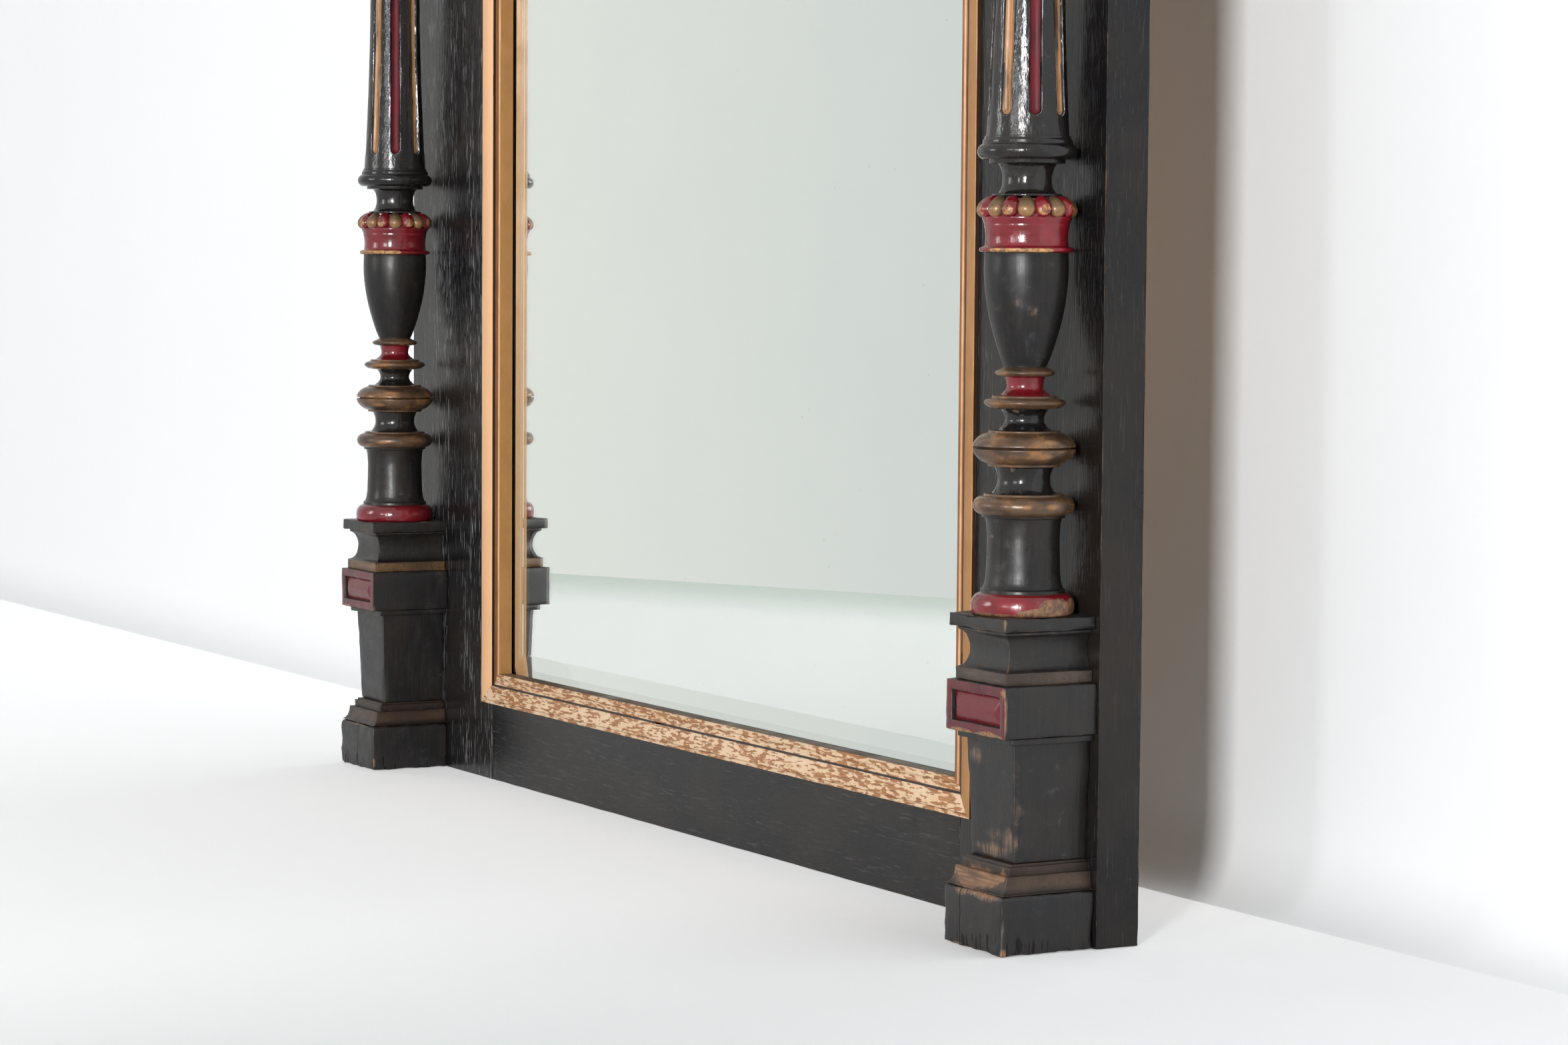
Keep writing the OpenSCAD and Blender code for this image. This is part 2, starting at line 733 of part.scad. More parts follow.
module bead_ring(side) {
    core_r = bead_ring_r - bead_r * 1.2;
    color(oxblood) placed() on_axis(side) translate([0, -column_y, 0]) difference() {
        union() {
            turned([[core_r, bead_z], [core_r, bead_z + bead_ring_h * 0.62], [core_r - 5, collar_z]]);
            for (i = [0 : bead_count - 1])
                rotate(360 * (i + 0.5) / bead_count)
                    translate([bead_ring_r - bead_r, 0, bead_z + bead_r + 0.1]) sphere(r = bead_r, $fn = 32);
        }
        translate([0, 0, bead_z - 1]) cylinder(r = spigot_r + fit, h = bead_ring_h + 2);
    }
}

collar_profile = concat(
    [[collar_neck_r + 3.6, collar_z], [collar_neck_r + 3.6, collar_z + 1.8]],
    hollow(collar_z + 1.8, collar_neck_h - 1.8, collar_neck_r + 4.4, collar_neck_r),
    [[collar_r - 7.8, collar_torus_z], [collar_r - 7.8, collar_torus_z + 2.6]],
    bulge(collar_torus_z + 2.6, 9.8, collar_r - 4.4, collar_r),
    [[collar_r - 3.4, shaft_z - 5], [collar_r - 3.4, shaft_z - 2.6], [collar_r - 4.6, shaft_z - 1.8],
     [collar_r - 4.6, shaft_z]]);

module column_collar(side) {
    color(ebony) on_column(side) union() {
        turned(collar_profile);
        translate([0, 0, collar_z - spigot_l + fit]) cylinder(r = spigot_r, h = spigot_l);
    }
}

// Radius of the shaft at a height above its foot: a flared foot, then a slight taper
function shaft_radius(h) =
    shaft_r + (shaft_foot_r - shaft_r) * pow(max(0, 1 - h / flare_l), 2.2) - 1.2 * h / shaft_l;

flare_steps = 6;
flute_knots = [flute_end + flute_r, flare_l * 0.4, flare_l * 0.93, shaft_l - flute_end - flute_r];
flute_ball_r = flute_r + 0.08;

// One flute: straight runs between knots that follow the shaft's surface, with round ends
module flute() {
    depth = flute_r * 0.25;
    for (i = [0 : len(flute_knots) - 1])
        translate([shaft_radius(flute_knots[i]) + depth, 0, flute_knots[i]])
            sphere(r = flute_ball_r, $fn = 24);
    for (i = [0 : len(flute_knots) - 2]) {
        dz = flute_knots[i + 1] - flute_knots[i];
        dr = shaft_radius(flute_knots[i + 1]) - shaft_radius(flute_knots[i]);
        translate([shaft_radius(flute_knots[i]) + depth, 0, flute_knots[i]])
            rotate([0, atan2(dr, dz), 0]) cylinder(r = flute_r, h = norm([dr, dz]), $fn = 24);
    }
}

module column_shaft(side) {
    color(ebony) on_column(side) translate([0, 0, shaft_z]) difference() {
        turned([for (h = concat([for (i = [0 : flare_steps]) flare_l * i / flare_steps], [shaft_l]))
                [shaft_radius(h), h]]);
        for (i = [0 : flute_count - 1]) rotate(360 * (i + 0.5) / flute_count - 90) flute();
    }
}

capital_neck_r = shaft_r - 1;
capital_profile = concat(
    bulge(capital_z, 9, shaft_r + 2, shaft_r + 6.4),
    [[capital_neck_r + 3, capital_z + 9], [capital_neck_r + 3, capital_z + 10.5]],
    hollow(capital_z + 10.5, 22, capital_neck_r + 1.6, capital_neck_r),
    [[capital_neck_r + 3.4, capital_z + 32.5], [capital_neck_r + 3.4, capital_z + 34]],
    bulge(capital_z + 34, 8, capital_neck_r + 3, capital_neck_r + 7.4),
    [for (i = [0 : 8]) [capital_neck_r + 1.4 + (torus_r - capital_neck_r - 3.8) * (1 - cos(90 * i / 8)),
                        capital_z + 42 + (capital_h - 50) * sin(90 * i / 8)]],
    [[torus_r - 1.6, abacus_z - 6], [torus_r - 1.6, abacus_z]]);

module column_capital(side) {
    color(ebony) on_column(side) turned(capital_profile);
}

module column_dowels() {
    color(pine) placed() for (side = [-1, 1]) on_axis(side) dowels();
}

module column_foot_left() { column_foot(-1); }
module column_foot_right() { column_foot(1); }
module column_urn_left() { column_urn(-1); }
module column_urn_right() { column_urn(1); }
module bead_ring_left() { bead_ring(-1); }
module bead_ring_right() { bead_ring(1); }
module column_collar_left() { column_collar(-1); }
module column_collar_right() { column_collar(1); }
module column_shaft_left() { column_shaft(-1); }
module column_shaft_right() { column_shaft(1); }
module column_capital_left() { column_capital(-1); }
module column_capital_right() { column_capital(1); }

// ---- Entablature ----

module abacus(side) {
    color(ebony) placed() on_axis(side)
        moulded_block(block_w, block_d, [[2.2, abacus_z], [2.2, abacus_z + abacus_h * 0.3],
                                         [0, abacus_z + abacus_h * 0.5], [0, upper_block_z]]);
}

module upper_block(side) {
    color(ebony) placed() on_axis(side) difference() {
        moulded_block(block_w, block_d, [[0, upper_block_z], [0, cornice_z]]);
        panel_recess_cut(block_w, block_d, upper_block_z, upper_block_h);
    }
}

module upper_field(side) {
    color(oxblood) placed() on_axis(side) panel_field(block_w, block_d, upper_block_z, upper_block_h);
}

between_blocks = 2 * axis_x - block_w - 2 * fit;

// Strip between the upper blocks: a fascia with a half-round on top
module architrave() {
    nose = architrave_h * 0.36;
    color(gold) placed() translate([-between_blocks / 2, 0, upper_block_z]) rotate([90, 0, 90])
        linear_extrude(between_blocks) polygon(concat(
            [[0, 0], [5 - architrave_d, 0], [5 - architrave_d, architrave_h * 0.5],
             [2.4 - architrave_d, architrave_h * 0.56]],
            arc(4 - architrave_d, architrave_h - nose / 2 - 1, 4, nose / 2, 270, 90, 8),
            [[6 - architrave_d, architrave_h - 1], [6 - architrave_d, architrave_h], [0, architrave_h]]));
}

frieze_side = 14;
frieze_w = between_blocks - 2 * frieze_side;
frieze_z = upper_block_z + architrave_h + (upper_block_h - architrave_h - frieze_h) / 2;

module frieze_panel() {
    chamfer = 3;
    color(ebony) placed() difference() {
        translate([0, 0, frieze_z + frieze_h / 2]) raised_field(frieze_w, frieze_h, frieze_t, chamfer);
        translate([panel_margin * 1.6 - frieze_w / 2, -frieze_t - 1, frieze_z + panel_margin * 1.6])
            cube([frieze_w - panel_margin * 3.2, panel_recess + 1, frieze_h - panel_margin * 3.2]);
    }
}

module frieze_field() {
    color(oxblood) placed() translate([0, panel_recess - frieze_t, frieze_z + frieze_h / 2])
        raised_field(frieze_w - panel_margin * 3.2 - 2 * fit, frieze_h - panel_margin * 3.2 - 2 * fit,
                     panel_recess - 0.4, panel_slope * 1.6);
}

// Hollow of the cornice box, behind the mouldings
module cornice_hollow(z0, z1) {
    translate([cornice_wall - soffit_half, cornice_wall - soffit_d, z0 - 1])
        cube([2 * (soffit_half - cornice_wall), soffit_d - cornice_wall + frame_t + 1, z1 - z0 + 2]);
}

module soffit_board() {
    color(ebony) placed()
        moulded_block(2 * soffit_half, soffit_d,
                      [[0, cornice_z], [0, cornice_z + cornice_board_t - 2], [2, bed_z]], frame_t);
}

module cornice_back() {
    color(pine) placed() translate([cornice_wall + fit - soffit_half, frame_t - cornice_board_t, bed_z])
        cube([2 * (soffit_half - cornice_wall - fit), cornice_board_t, top_board_z - bed_z]);
}

module bed_moulding() {
    lip = 4;
    color(ebony) placed() difference() {
        moulded_block(2 * corona_half, corona_d, concat(
            [[bed_out + 1, bed_z], [bed_out - 1, bed_z + 2], [bed_out - 1, bed_z + lip]],
            arc(2, bed_z + lip + 1, bed_out - 4, bed_h - lip - 7, 180, 90, 8),
            [[2, corona_z - 5], [0.6, corona_z - 5], [0.6, corona_z]]), frame_t);
        cornice_hollow(bed_z, corona_z);
    }
}

module corona() {
    drip = 1.6;
    color(ebony) placed() difference() {
        moulded_block(2 * corona_half, corona_d,
                      [[0, corona_z], [0, crown_z - 6], [drip, crown_z - 5], [drip, crown_z]], frame_t);
        cornice_hollow(corona_z, crown_z);
    }
}

// Crown moulding: a cyma made of a hollow below and a swell above, under a square fillet
module crown_moulding() {
    steps = 12;
    swell_h = crown_h - 12;
    swell_out = crown_out - 4;
    color(ebony) placed() difference() {
        moulded_block(2 * crown_half, crown_d, concat(
            [[crown_out + 1.6, crown_z], [crown_out, crown_z + 1], [crown_out, crown_z + 4]],
            [for (i = [0 : steps]) [crown_out - 2 - swell_out * (1 - cos(180 * i / steps)) / 2,
                                    crown_z + 4 + swell_h * i / steps]],
            [[2, top_board_z - 8], [0, top_board_z - 7], [0, top_board_z]]), frame_t);
        cornice_hollow(crown_z, top_board_z);
    }
}

module top_board() {
    color(ebony) placed()
        moulded_block(2 * crown_half, crown_d,
                      [[1, top_board_z], [1, top_board_z + cornice_board_t - 2],
                       [3, top_board_z + cornice_board_t]], frame_t);
}

module wall_plates() {
    color(brass) placed() {
        difference() {
            plate_blank(0);
            for (side = [-1, 1]) translate([side * (frame_w / 2 + wall_hole_out), 0, plate_z])
                y_rod(wall_hole_r, frame_t - plate_t - 1, frame_t + 1);
        }
        plate_screws();
    }
}

module abacus_left() { abacus(-1); }
module abacus_right() { abacus(1); }
module upper_block_left() { upper_block(-1); }
module upper_block_right() { upper_block(1); }
module upper_field_left() { upper_field(-1); }
module upper_field_right() { upper_field(1); }

stile_left();
stile_right();
bottom_rail();
top_rail();
tenon_pegs();
slip_left();
slip_right();
slip_bottom();
slip_top();
slip_nails();
mirror_glass();
glass_shims();
back_board_1();
back_board_2();
back_board_3();
back_board_4();
board_screws();
base_block_left();
base_block_right();
base_moulding_left();
base_moulding_right();
pedestal_left();
pedestal_right();
panel_block_left();
panel_block_right();
panel_field_left();
panel_field_right();
cove_moulding_left();
cove_moulding_right();
cap_plate_left();
cap_plate_right();
column_foot_left();
column_foot_right();
column_urn_left();
column_urn_right();
bead_ring_left();
bead_ring_right();
column_collar_left();
column_collar_right();
column_shaft_left();
column_shaft_right();
column_capital_left();
column_capital_right();
column_dowels();
abacus_left();
abacus_right();
upper_block_left();
upper_block_right();
upper_field_left();
upper_field_right();
architrave();
frieze_panel();
frieze_field();
soffit_board();
cornice_back();
bed_moulding();
corona();
crown_moulding();
top_board();
wall_plates();
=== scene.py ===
import math

import bmesh
import bpy
import numpy as np
from mathutils import Matrix, Vector, noise
from mathutils.bvhtree import BVHTree

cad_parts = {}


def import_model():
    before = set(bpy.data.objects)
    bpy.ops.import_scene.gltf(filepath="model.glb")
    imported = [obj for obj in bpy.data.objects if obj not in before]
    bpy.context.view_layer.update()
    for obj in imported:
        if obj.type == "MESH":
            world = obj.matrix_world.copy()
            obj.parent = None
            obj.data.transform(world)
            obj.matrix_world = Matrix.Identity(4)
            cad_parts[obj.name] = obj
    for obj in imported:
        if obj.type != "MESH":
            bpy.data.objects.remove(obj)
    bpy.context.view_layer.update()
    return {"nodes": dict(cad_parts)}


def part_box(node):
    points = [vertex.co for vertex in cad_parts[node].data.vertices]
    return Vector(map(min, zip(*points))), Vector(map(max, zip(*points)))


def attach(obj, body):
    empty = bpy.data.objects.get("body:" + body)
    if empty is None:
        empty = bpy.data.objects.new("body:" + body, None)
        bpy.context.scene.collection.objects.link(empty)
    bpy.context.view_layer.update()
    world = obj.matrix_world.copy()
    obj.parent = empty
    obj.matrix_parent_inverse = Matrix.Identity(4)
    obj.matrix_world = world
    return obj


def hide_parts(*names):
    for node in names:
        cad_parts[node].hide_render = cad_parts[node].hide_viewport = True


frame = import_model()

MM = 0.001
BODY = "root"
SIDES = (("left", -1), ("right", 1))

# ---- Camera, solved from the photograph's edges

IMAGE_W = 2352             # pixels
FOCAL_PX = 5690.26
SENSOR_W = 36.0
CAMERA_AT = (2.52185, -1.29680, 0.42618)
CAMERA_YAW, CAMERA_PITCH, CAMERA_ROLL = 1.060040, 0.065096, 0.007243

# ---- Measures

GILT_BAND_TOP = 177.9 * MM
FLUTES = 8
FLUTE_R = 4.38 * MM        # of the round cutter
FLUTE_AXIS_OUT = 1.075 * MM
FLUTE_END = 16.3 * MM      # from the shaft's end to the middle of the flute's round end
PAINT_HALF_W = 3.5 * MM    # of the paint in a flute
BEADS = 16


# ---- Materials

class Shader:
    """Builds one node material around a Principled shader; textures take their scale per metre."""

    def __init__(self, name):
        self.mat = bpy.data.materials.new(name)
        self.mat.use_nodes = True
        self.tree = self.mat.node_tree
        self.bsdf = self.tree.nodes["Principled BSDF"]
        self.place = self.node("TexCoord", {}, "Object")

    def put(self, socket, value):
        """Links an output to the socket, or sets its value."""
        if isinstance(value, bpy.types.NodeSocket):
            self.tree.links.new(value, socket)
        else:
            socket.default_value = value

    def node(self, kind, inputs, output=0, **settings):
        """Adds a node and returns one of its outputs."""
        n = self.tree.nodes.new("ShaderNode" + kind)
        for key, value in settings.items():
            setattr(n, key, value)
        for key, value in inputs.items():
            self.put(n.inputs[key], value)
        return n.outputs[output]

    def coords(self, scale):
        """Object coordinates, scaled by one number or by one for each axis."""
        by_axis = scale if isinstance(scale, tuple) else (scale,) * 3
        return self.node("VectorMath", {0: self.place, 1: by_axis}, operation="MULTIPLY")

    def noise(self, scale, detail=3.0, rough=0.55, twist=0.0):
        inputs = {"Vector": self.coords(scale), "Scale": 1.0, "Detail": detail, "Roughness": rough,
                  "Distortion": twist}
        return self.node("TexNoise", inputs, "Fac")

    def cells(self, scale):
        return self.node("TexVoronoi", {"Vector": self.coords(scale), "Scale": 1.0}, "Distance")

    def attr(self, name):
        return self.node("Attribute", {}, "Fac", attribute_name=name)

    def axis(self, index):
        return self.node("SeparateXYZ", {0: self.place}, index)

    def math(self, operation, a, b=0.0):
        return self.node("Math", {0: a, 1: b}, operation=operation)

    def add(self, a, b):
        return self.math("ADD", a, b)

    def times(self, a, b):
        return self.math("MULTIPLY", a, b)

    def most(self, a, b):
        return self.math("MAXIMUM", a, b)

    def uneven(self, name, texture, share):
        """A level written on the mesh, made uneven by a texture."""
        return self.add(self.attr(name), self.times(texture, share))

    def step(self, value, low, high, out_low=0.0, out_high=1.0):
        """A smooth step from one level to another."""
        inputs = {"Value": value, "From Min": low, "From Max": high, "To Min": out_low, "To Max": out_high}
        return self.node("MapRange", inputs, "Result", interpolation_type="SMOOTHSTEP")

    def mix(self, factor, a, b):
        """Mixes two colours."""
        first, second = (c if isinstance(c, bpy.types.NodeSocket) else (*c, 1.0) for c in (a, b))
        return self.node("Mix", {0: factor, 6: first, 7: second}, 2, data_type="RGBA")

    def blend(self, factor, a, b):
        """Mixes two numbers."""
        return self.node("Mix", {0: factor, 2: a, 3: b})

    def bump(self, height, distance, under=None):
        inputs = {"Distance": distance, "Height": height}
        if under is not None:
            inputs["Normal"] = under
        return self.node("Bump", inputs)

    def finish(self, colour, rough, normal=None, metal=0.0, specular=0.5):
        """Feeds the Principled shader."""
        b = self.bsdf.inputs
        self.put(b["Base Color"], colour)
        self.put(b["Roughness"], rough)
        self.put(b["Metallic"], metal)
        self.put(b["Specular IOR Level"], specular)
        if normal is not None:
            self.put(b["Normal"], normal)
        return self.mat


def srgb(r, g, b):
    """Linear colour of a display colour from 0 to 255."""
    def lin(v):
        v /= 255
        return v / 12.92 if v <= 0.04045 else ((v + 0.055) / 1.055) ** 2.4
    return lin(r), lin(g), lin(b)


BLACK = srgb(18, 18, 20)
WARM_BLACK = srgb(32, 27, 23)
CRACK = srgb(6, 5, 5)
DUST = srgb(134, 134, 138)
WAX_AND_SHEEN = srgb(165, 165, 168)
RUBBED = srgb(116, 98, 84)
BARE_BROWN = srgb(92, 68, 50)
BARE_ORANGE = srgb(142, 103, 69)
DARK_BROWN = srgb(50, 37, 29)
RED = srgb(122, 18, 29)
RED_DARK = srgb(94, 12, 21)
BURGUNDY = srgb(98, 21, 31)
MAROON = srgb(60, 15, 21)
BRONZE = srgb(94, 70, 49)
COPPER = srgb(150, 106, 66)
GOLD = srgb(190, 140, 84)
OCHRE = srgb(152, 106, 53)
PEACH = srgb(216, 170, 128)
GESSO = srgb(230, 204, 176)
# Dark colour laid into creases: dirt and painted shade.
GRIME_AND_SHADE = srgb(26, 20, 17)

DRAWN_OUT = 0.055          # a texture's scale along the grain, as a share of its scale across


def along(axis, scale):
    """The scale of a texture that is drawn out along the grain."""
    return tuple(scale * (DRAWN_OUT if a == axis else 1) for a in "xyz")


def edge_wear(s, amount):
    """Mask of the worn arrises: broken lengths, each with a ragged border."""
    lengths = s.noise(34, rough=0.6)
    ragged = s.noise(150, detail=4, rough=0.7)
    proud = s.uneven("arris", ragged, 0.22)
    proud = s.add(proud, s.times(lengths, 0.26))
    start = 1.275 - 0.1 * amount
    return s.step(proud, start, start + 0.05)


def patch_level(s, scale):
    """The strength of the patches painted on the mesh, made ragged."""
    ragged = s.noise(scale, detail=5, rough=0.72)
    broad = s.noise(scale * 0.3, rough=0.6)
    both = s.add(s.times(ragged, 0.6), s.times(broad, 0.4))
    return s.add(s.attr("worn"), both)


def patch_wear(s, scale=160):
    """Mask of the painted patches where the surface is gone."""
    return s.step(patch_level(s, scale), 0.82, 0.96)


def bare_wood(s, axis):
    """Colour of wood showing through, with its grain."""
    streak = s.noise(along(axis, 700), rough=0.6)
    stain = s.noise(60)
    wood = s.mix(s.step(streak, 0.3, 0.75), BARE_BROWN, BARE_ORANGE)
    return s.mix(s.step(stain, 0.48, 0.7, 0, 0.55), wood, DARK_BROWN)


def cracks(s, crack_x):
    """Mask of the drying cracks: short ones up from the foot, and one the whole way up."""
    across = s.noise((300, 300, 12), detail=2)
    height = s.noise((90, 90, 0), detail=1)
    top = s.add(s.axis(2), s.times(height, -24 * MM))
    short = s.times(s.step(across, 0.57, 0.60), s.step(top, 0.0, -3 * MM))
    sway = s.times(s.noise((0, 0, 70), detail=2), 3 * MM)
    off = s.math("ABSOLUTE", s.math("SUBTRACT", s.add(s.axis(0), sway), crack_x))
    return s.most(short, s.step(off, 0.7 * MM, 0.3 * MM))


def ebonised_oak(name, axis, pale, open_grain, specular, gloss=0.24):
    """Open-grained black oak, with pale wax left in the pores; its pale streaks also carry painted sheen."""
    s = Shader(name)
    pores = s.noise(along(axis, 950), detail=1, rough=0.5)
    streaks = s.noise(along(axis, 470), rough=0.65)
    broad = s.noise(along(axis, 60), detail=4, rough=0.6)
    clouds = s.noise(9, detail=4, rough=0.6)
    base = s.mix(s.step(clouds, 0.35, 0.7), BLACK, WARM_BLACK)
    line = s.times(s.step(streaks, 0.56, 0.64), s.step(broad, 0.34, 0.56))
    fleck = s.times(s.step(pores, 0.635, 0.665), s.step(broad, 0.36, 0.52))
    # Pale streaks and flecks: wax in the pores, and painted sheen.
    light = s.times(s.most(s.times(line, 0.15), fleck), pale)
    base = s.mix(light, base, WAX_AND_SHEEN)
    worn = edge_wear(s, 0.55)
    colour = s.mix(worn, base, s.mix(s.step(streaks, 0.4, 0.6), DARK_BROWN, BARE_BROWN))
    colour = s.mix(patch_wear(s), colour, bare_wood(s, axis))
    rough = s.blend(light, s.step(clouds, 0.3, 0.7, gloss, gloss + 0.08), 0.6)
    dips = s.add(s.step(pores, 0.34, 0.48), s.step(streaks, 0.34, 0.46))
    height = s.add(dips, s.times(streaks, 0.8))
    return s.finish(colour, rough, s.bump(height, open_grain), specular=specular)


def ebonised_wood(name, rough_low, rough_high, wear=0.0, ripple=0.0, crack_x=None, rim=False,
                  specular=0.42):
    """Black stained and polished wood, from satin to gloss; with rim, a pale highlight is painted along the
    arrises.
    """
    s = Shader(name)
    grain = s.noise(along("z", 520), rough=0.6)
    clouds = s.noise((26, 26, 14), detail=4, rough=0.62)
    scuffs = s.noise(70, detail=6, rough=0.75, twist=0.4)
    specks = s.cells(330)
    base = s.mix(s.step(s.blend(0.5, clouds, grain), 0.42, 0.62), BLACK, WARM_BLACK)
    base = s.mix(s.step(scuffs, 0.56, 0.74, 0, 0.12), base, DUST)
    base = s.mix(s.step(specks, 0.09, 0.04, 0, 0.4), base, BARE_BROWN)
    # Painted highlight: a pale line along the arrises, where the flute rims catch the light.
    if rim:
        rim_highlight = s.uneven("arris", scuffs, 0.5)
        base = s.mix(s.step(rim_highlight, 1.05, 1.25, 0, 0.75), base, srgb(168, 164, 160))
    level = patch_level(s, 160)
    rubbed = s.step(level, 0.72, 1.08, 0, 0.85)
    bare = s.step(level, 1.02, 1.22)
    colour = s.mix(rubbed, base, s.mix(s.step(grain, 0.35, 0.65), DARK_BROWN, RUBBED))
    colour = s.mix(bare, colour, bare_wood(s, "z"))
    if wear:
        worn = edge_wear(s, wear)
        colour = s.mix(worn, colour, s.mix(s.step(clouds, 0.35, 0.6), DARK_BROWN, BARE_BROWN))
        rubbed = s.most(worn, rubbed)
    rough = s.blend(rubbed, s.step(scuffs, 0.34, 0.68, rough_low, rough_high), 0.62)
    normal = s.bump(s.add(grain, scuffs), 0.08 * MM)
    if crack_x is not None:
        split = cracks(s, crack_x)
        colour = s.mix(split, colour, CRACK)
        rough = s.blend(split, rough, 1.0)
        normal = s.bump(s.math("SUBTRACT", 1.0, split), 0.6 * MM, normal)
    if ripple:
        waves = s.noise((150, 150, 90))
        normal = s.bump(waves, ripple, normal)
    dent = s.noise((48, 48, 34), detail=2)
    normal = s.bump(dent, 0.3 * MM, normal)
    return s.finish(colour, rough, normal, specular=specular)


def red_lacquer(name, deep, bright, gloss, under):
    """Oxblood lacquer, darkened in its hollows with dirt and painted shade; under it, the two colours that
    its losses show.
    """
    s = Shader(name)
    clouds = s.noise((50, 50, 36), detail=4, rough=0.6)
    fine = s.noise(330)
    colour = s.mix(s.step(clouds, 0.3, 0.7), deep, bright)
    # Dirt and painted shade: the lacquer darkens towards its creases.
    dirt_and_shade = s.step(s.uneven("crease", clouds, 0.5), 0.95, 1.4)
    colour = s.mix(s.times(dirt_and_shade, 0.7), colour, GRIME_AND_SHADE)
    bare = patch_wear(s, 200)
    colour = s.mix(bare, colour, s.mix(s.step(fine, 0.35, 0.65), *under))
    rough = s.blend(bare, s.step(clouds, 0.3, 0.7, gloss, gloss + 0.08), 0.5)
    normal = s.bump(s.noise((190, 190, 120)), 0.26 * MM)
    normal = s.bump(s.noise((700, 700, 500), detail=2), 0.05 * MM, normal)
    return s.finish(colour, rough, normal, specular=0.75 - gloss)


def bronzed_wood():
    """Bronze paint on turned rings, rubbed through to copper-coloured wood."""
    s = Shader("bronzed_wood")
    clouds = s.noise((44, 44, 90), detail=4, rough=0.6)
    fine = s.noise((240, 240, 420), detail=4, rough=0.6)
    base = s.mix(s.step(clouds, 0.3, 0.6), DARK_BROWN, BRONZE)
    rub = s.add(clouds, s.times(fine, 0.35))
    colour = s.mix(s.step(rub, 0.70, 0.88, 0, 0.7), base, COPPER)
    colour = s.mix(s.step(patch_level(s, 110), 0.85, 1.5, 0, 0.8), colour, COPPER)
    colour = s.mix(s.step(fine, 0.58, 0.72, 0, 0.45), colour, DARK_BROWN)
    # Dirt and painted shade: the bronze darkens in its creases.
    dirt_and_shade = s.step(s.uneven("crease", fine, 0.5), 0.7, 1.2)
    colour = s.mix(dirt_and_shade, colour, GRIME_AND_SHADE)
    normal = s.bump(clouds, 0.30 * MM, s.bump(fine, 0.10 * MM))
    return s.finish(colour, s.step(clouds, 0.3, 0.7, 0.36, 0.22), normal, metal=0.15, specular=0.5)


def gilt(name, axis, base, second, flaking=False, dark=0.0, dust=0.15):
    """Old gold paint on gesso, scratched along its length."""
    s = Shader(name)
    fine = s.noise(along(axis, 1100), rough=0.6)
    clouds = s.noise(30, detail=5, rough=0.62)
    smears = s.noise(along(axis, 420), detail=4, rough=0.65)
    colour = s.mix(s.step(clouds, 0.3, 0.72), base, second)
    colour = s.mix(s.step(fine, 0.58, 0.75, 0, dust), colour, GESSO)
    if dark:
        colour = s.mix(s.step(smears, 0.48, 0.62, 0, dark), colour, DARK_BROWN)
    height = s.times(fine, 0.4)
    if flaking:
        flakes = s.noise((115, 60, 600), detail=4, rough=0.5, twist=0.2)
        loss = s.step(s.blend(0.25, flakes, clouds), 0.503, 0.515)
        colour = s.mix(loss, colour, s.mix(s.step(fine, 0.42, 0.66), FLAKE_UNDER, FLAKE_DARK))
        height = s.math("SUBTRACT", height, s.times(loss, 0.5))
    # Dirt and painted shade: the gilt darkens in its creases.
    dirt_and_shade = s.step(s.uneven("crease", fine, 0.3), 0.75, 1.1)
    colour = s.mix(s.times(dirt_and_shade, 0.8), colour, GRIME_AND_SHADE)
    colour = s.mix(s.times(edge_wear(s, 0.3), 0.6), colour, BARE_BROWN)
    colour = s.mix(patch_wear(s, 150), colour, bare_wood(s, axis))
    rough = s.step(clouds, 0.3, 0.7, 0.36, 0.5)
    return s.finish(colour, rough, s.bump(height, 0.2 * MM), metal=0.08, specular=0.38)


def gilt_bead():
    """Gold paint on the beads, left only where they swell out."""
    s = Shader("gilt_bead")
    clouds = s.noise(230, detail=4, rough=0.65)
    swell = s.uneven("arris", clouds, 0.5)
    colour = s.mix(s.step(swell, 0.25, 0.8), srgb(70, 54, 39), srgb(98, 76, 51))
    colour = s.mix(s.step(swell, 1.05, 1.4, 0, 0.6), colour, srgb(172, 126, 80))
    rough = s.step(clouds, 0.3, 0.7, 0.24, 0.4)
    return s.finish(colour, rough, s.bump(clouds, 0.12 * MM), metal=0.1, specular=0.5)


PINE_LIGHT, PINE_DARK = (168, 136, 98), (130, 98, 66)
BOARDS = ((120, 0.96), (84, 1.08), (150, 0.88), (102, 1.02))      # rings for each metre, and tone


def pine(name, rings_per_metre, tone):
    """Raw pine, its grain along x; each board has its own rings and its own tone."""
    s = Shader(name)
    rings = s.noise((2.2, rings_per_metre, rings_per_metre), detail=4, rough=0.6, twist=0.5)
    fibre = s.noise(along("x", 900))
    light_wood, dark_wood = (srgb(*(tone * k for k in wood)) for wood in (PINE_LIGHT, PINE_DARK))
    colour = s.mix(s.step(rings, 0.35, 0.65), light_wood, dark_wood)
    colour = s.mix(s.step(fibre, 0.55, 0.7, 0, 0.5), colour, srgb(84, 58, 36))
    colour = s.mix(s.step(s.noise(4), 0.42, 0.72, 0, 0.5), colour, DARK_BROWN)
    return s.finish(colour, 0.78, s.bump(fibre, 0.3 * MM), specular=0.3)


def brass():
    """Dull brass of the plates, screws and nails."""
    s = Shader("brass")
    clouds = s.noise(300, detail=4)
    colour = s.mix(s.step(clouds, 0.4, 0.65), srgb(168, 132, 70), srgb(92, 68, 38))
    return s.finish(colour, s.step(clouds, 0.3, 0.7, 0.3, 0.5), s.bump(clouds, 0.1 * MM), metal=1.0)


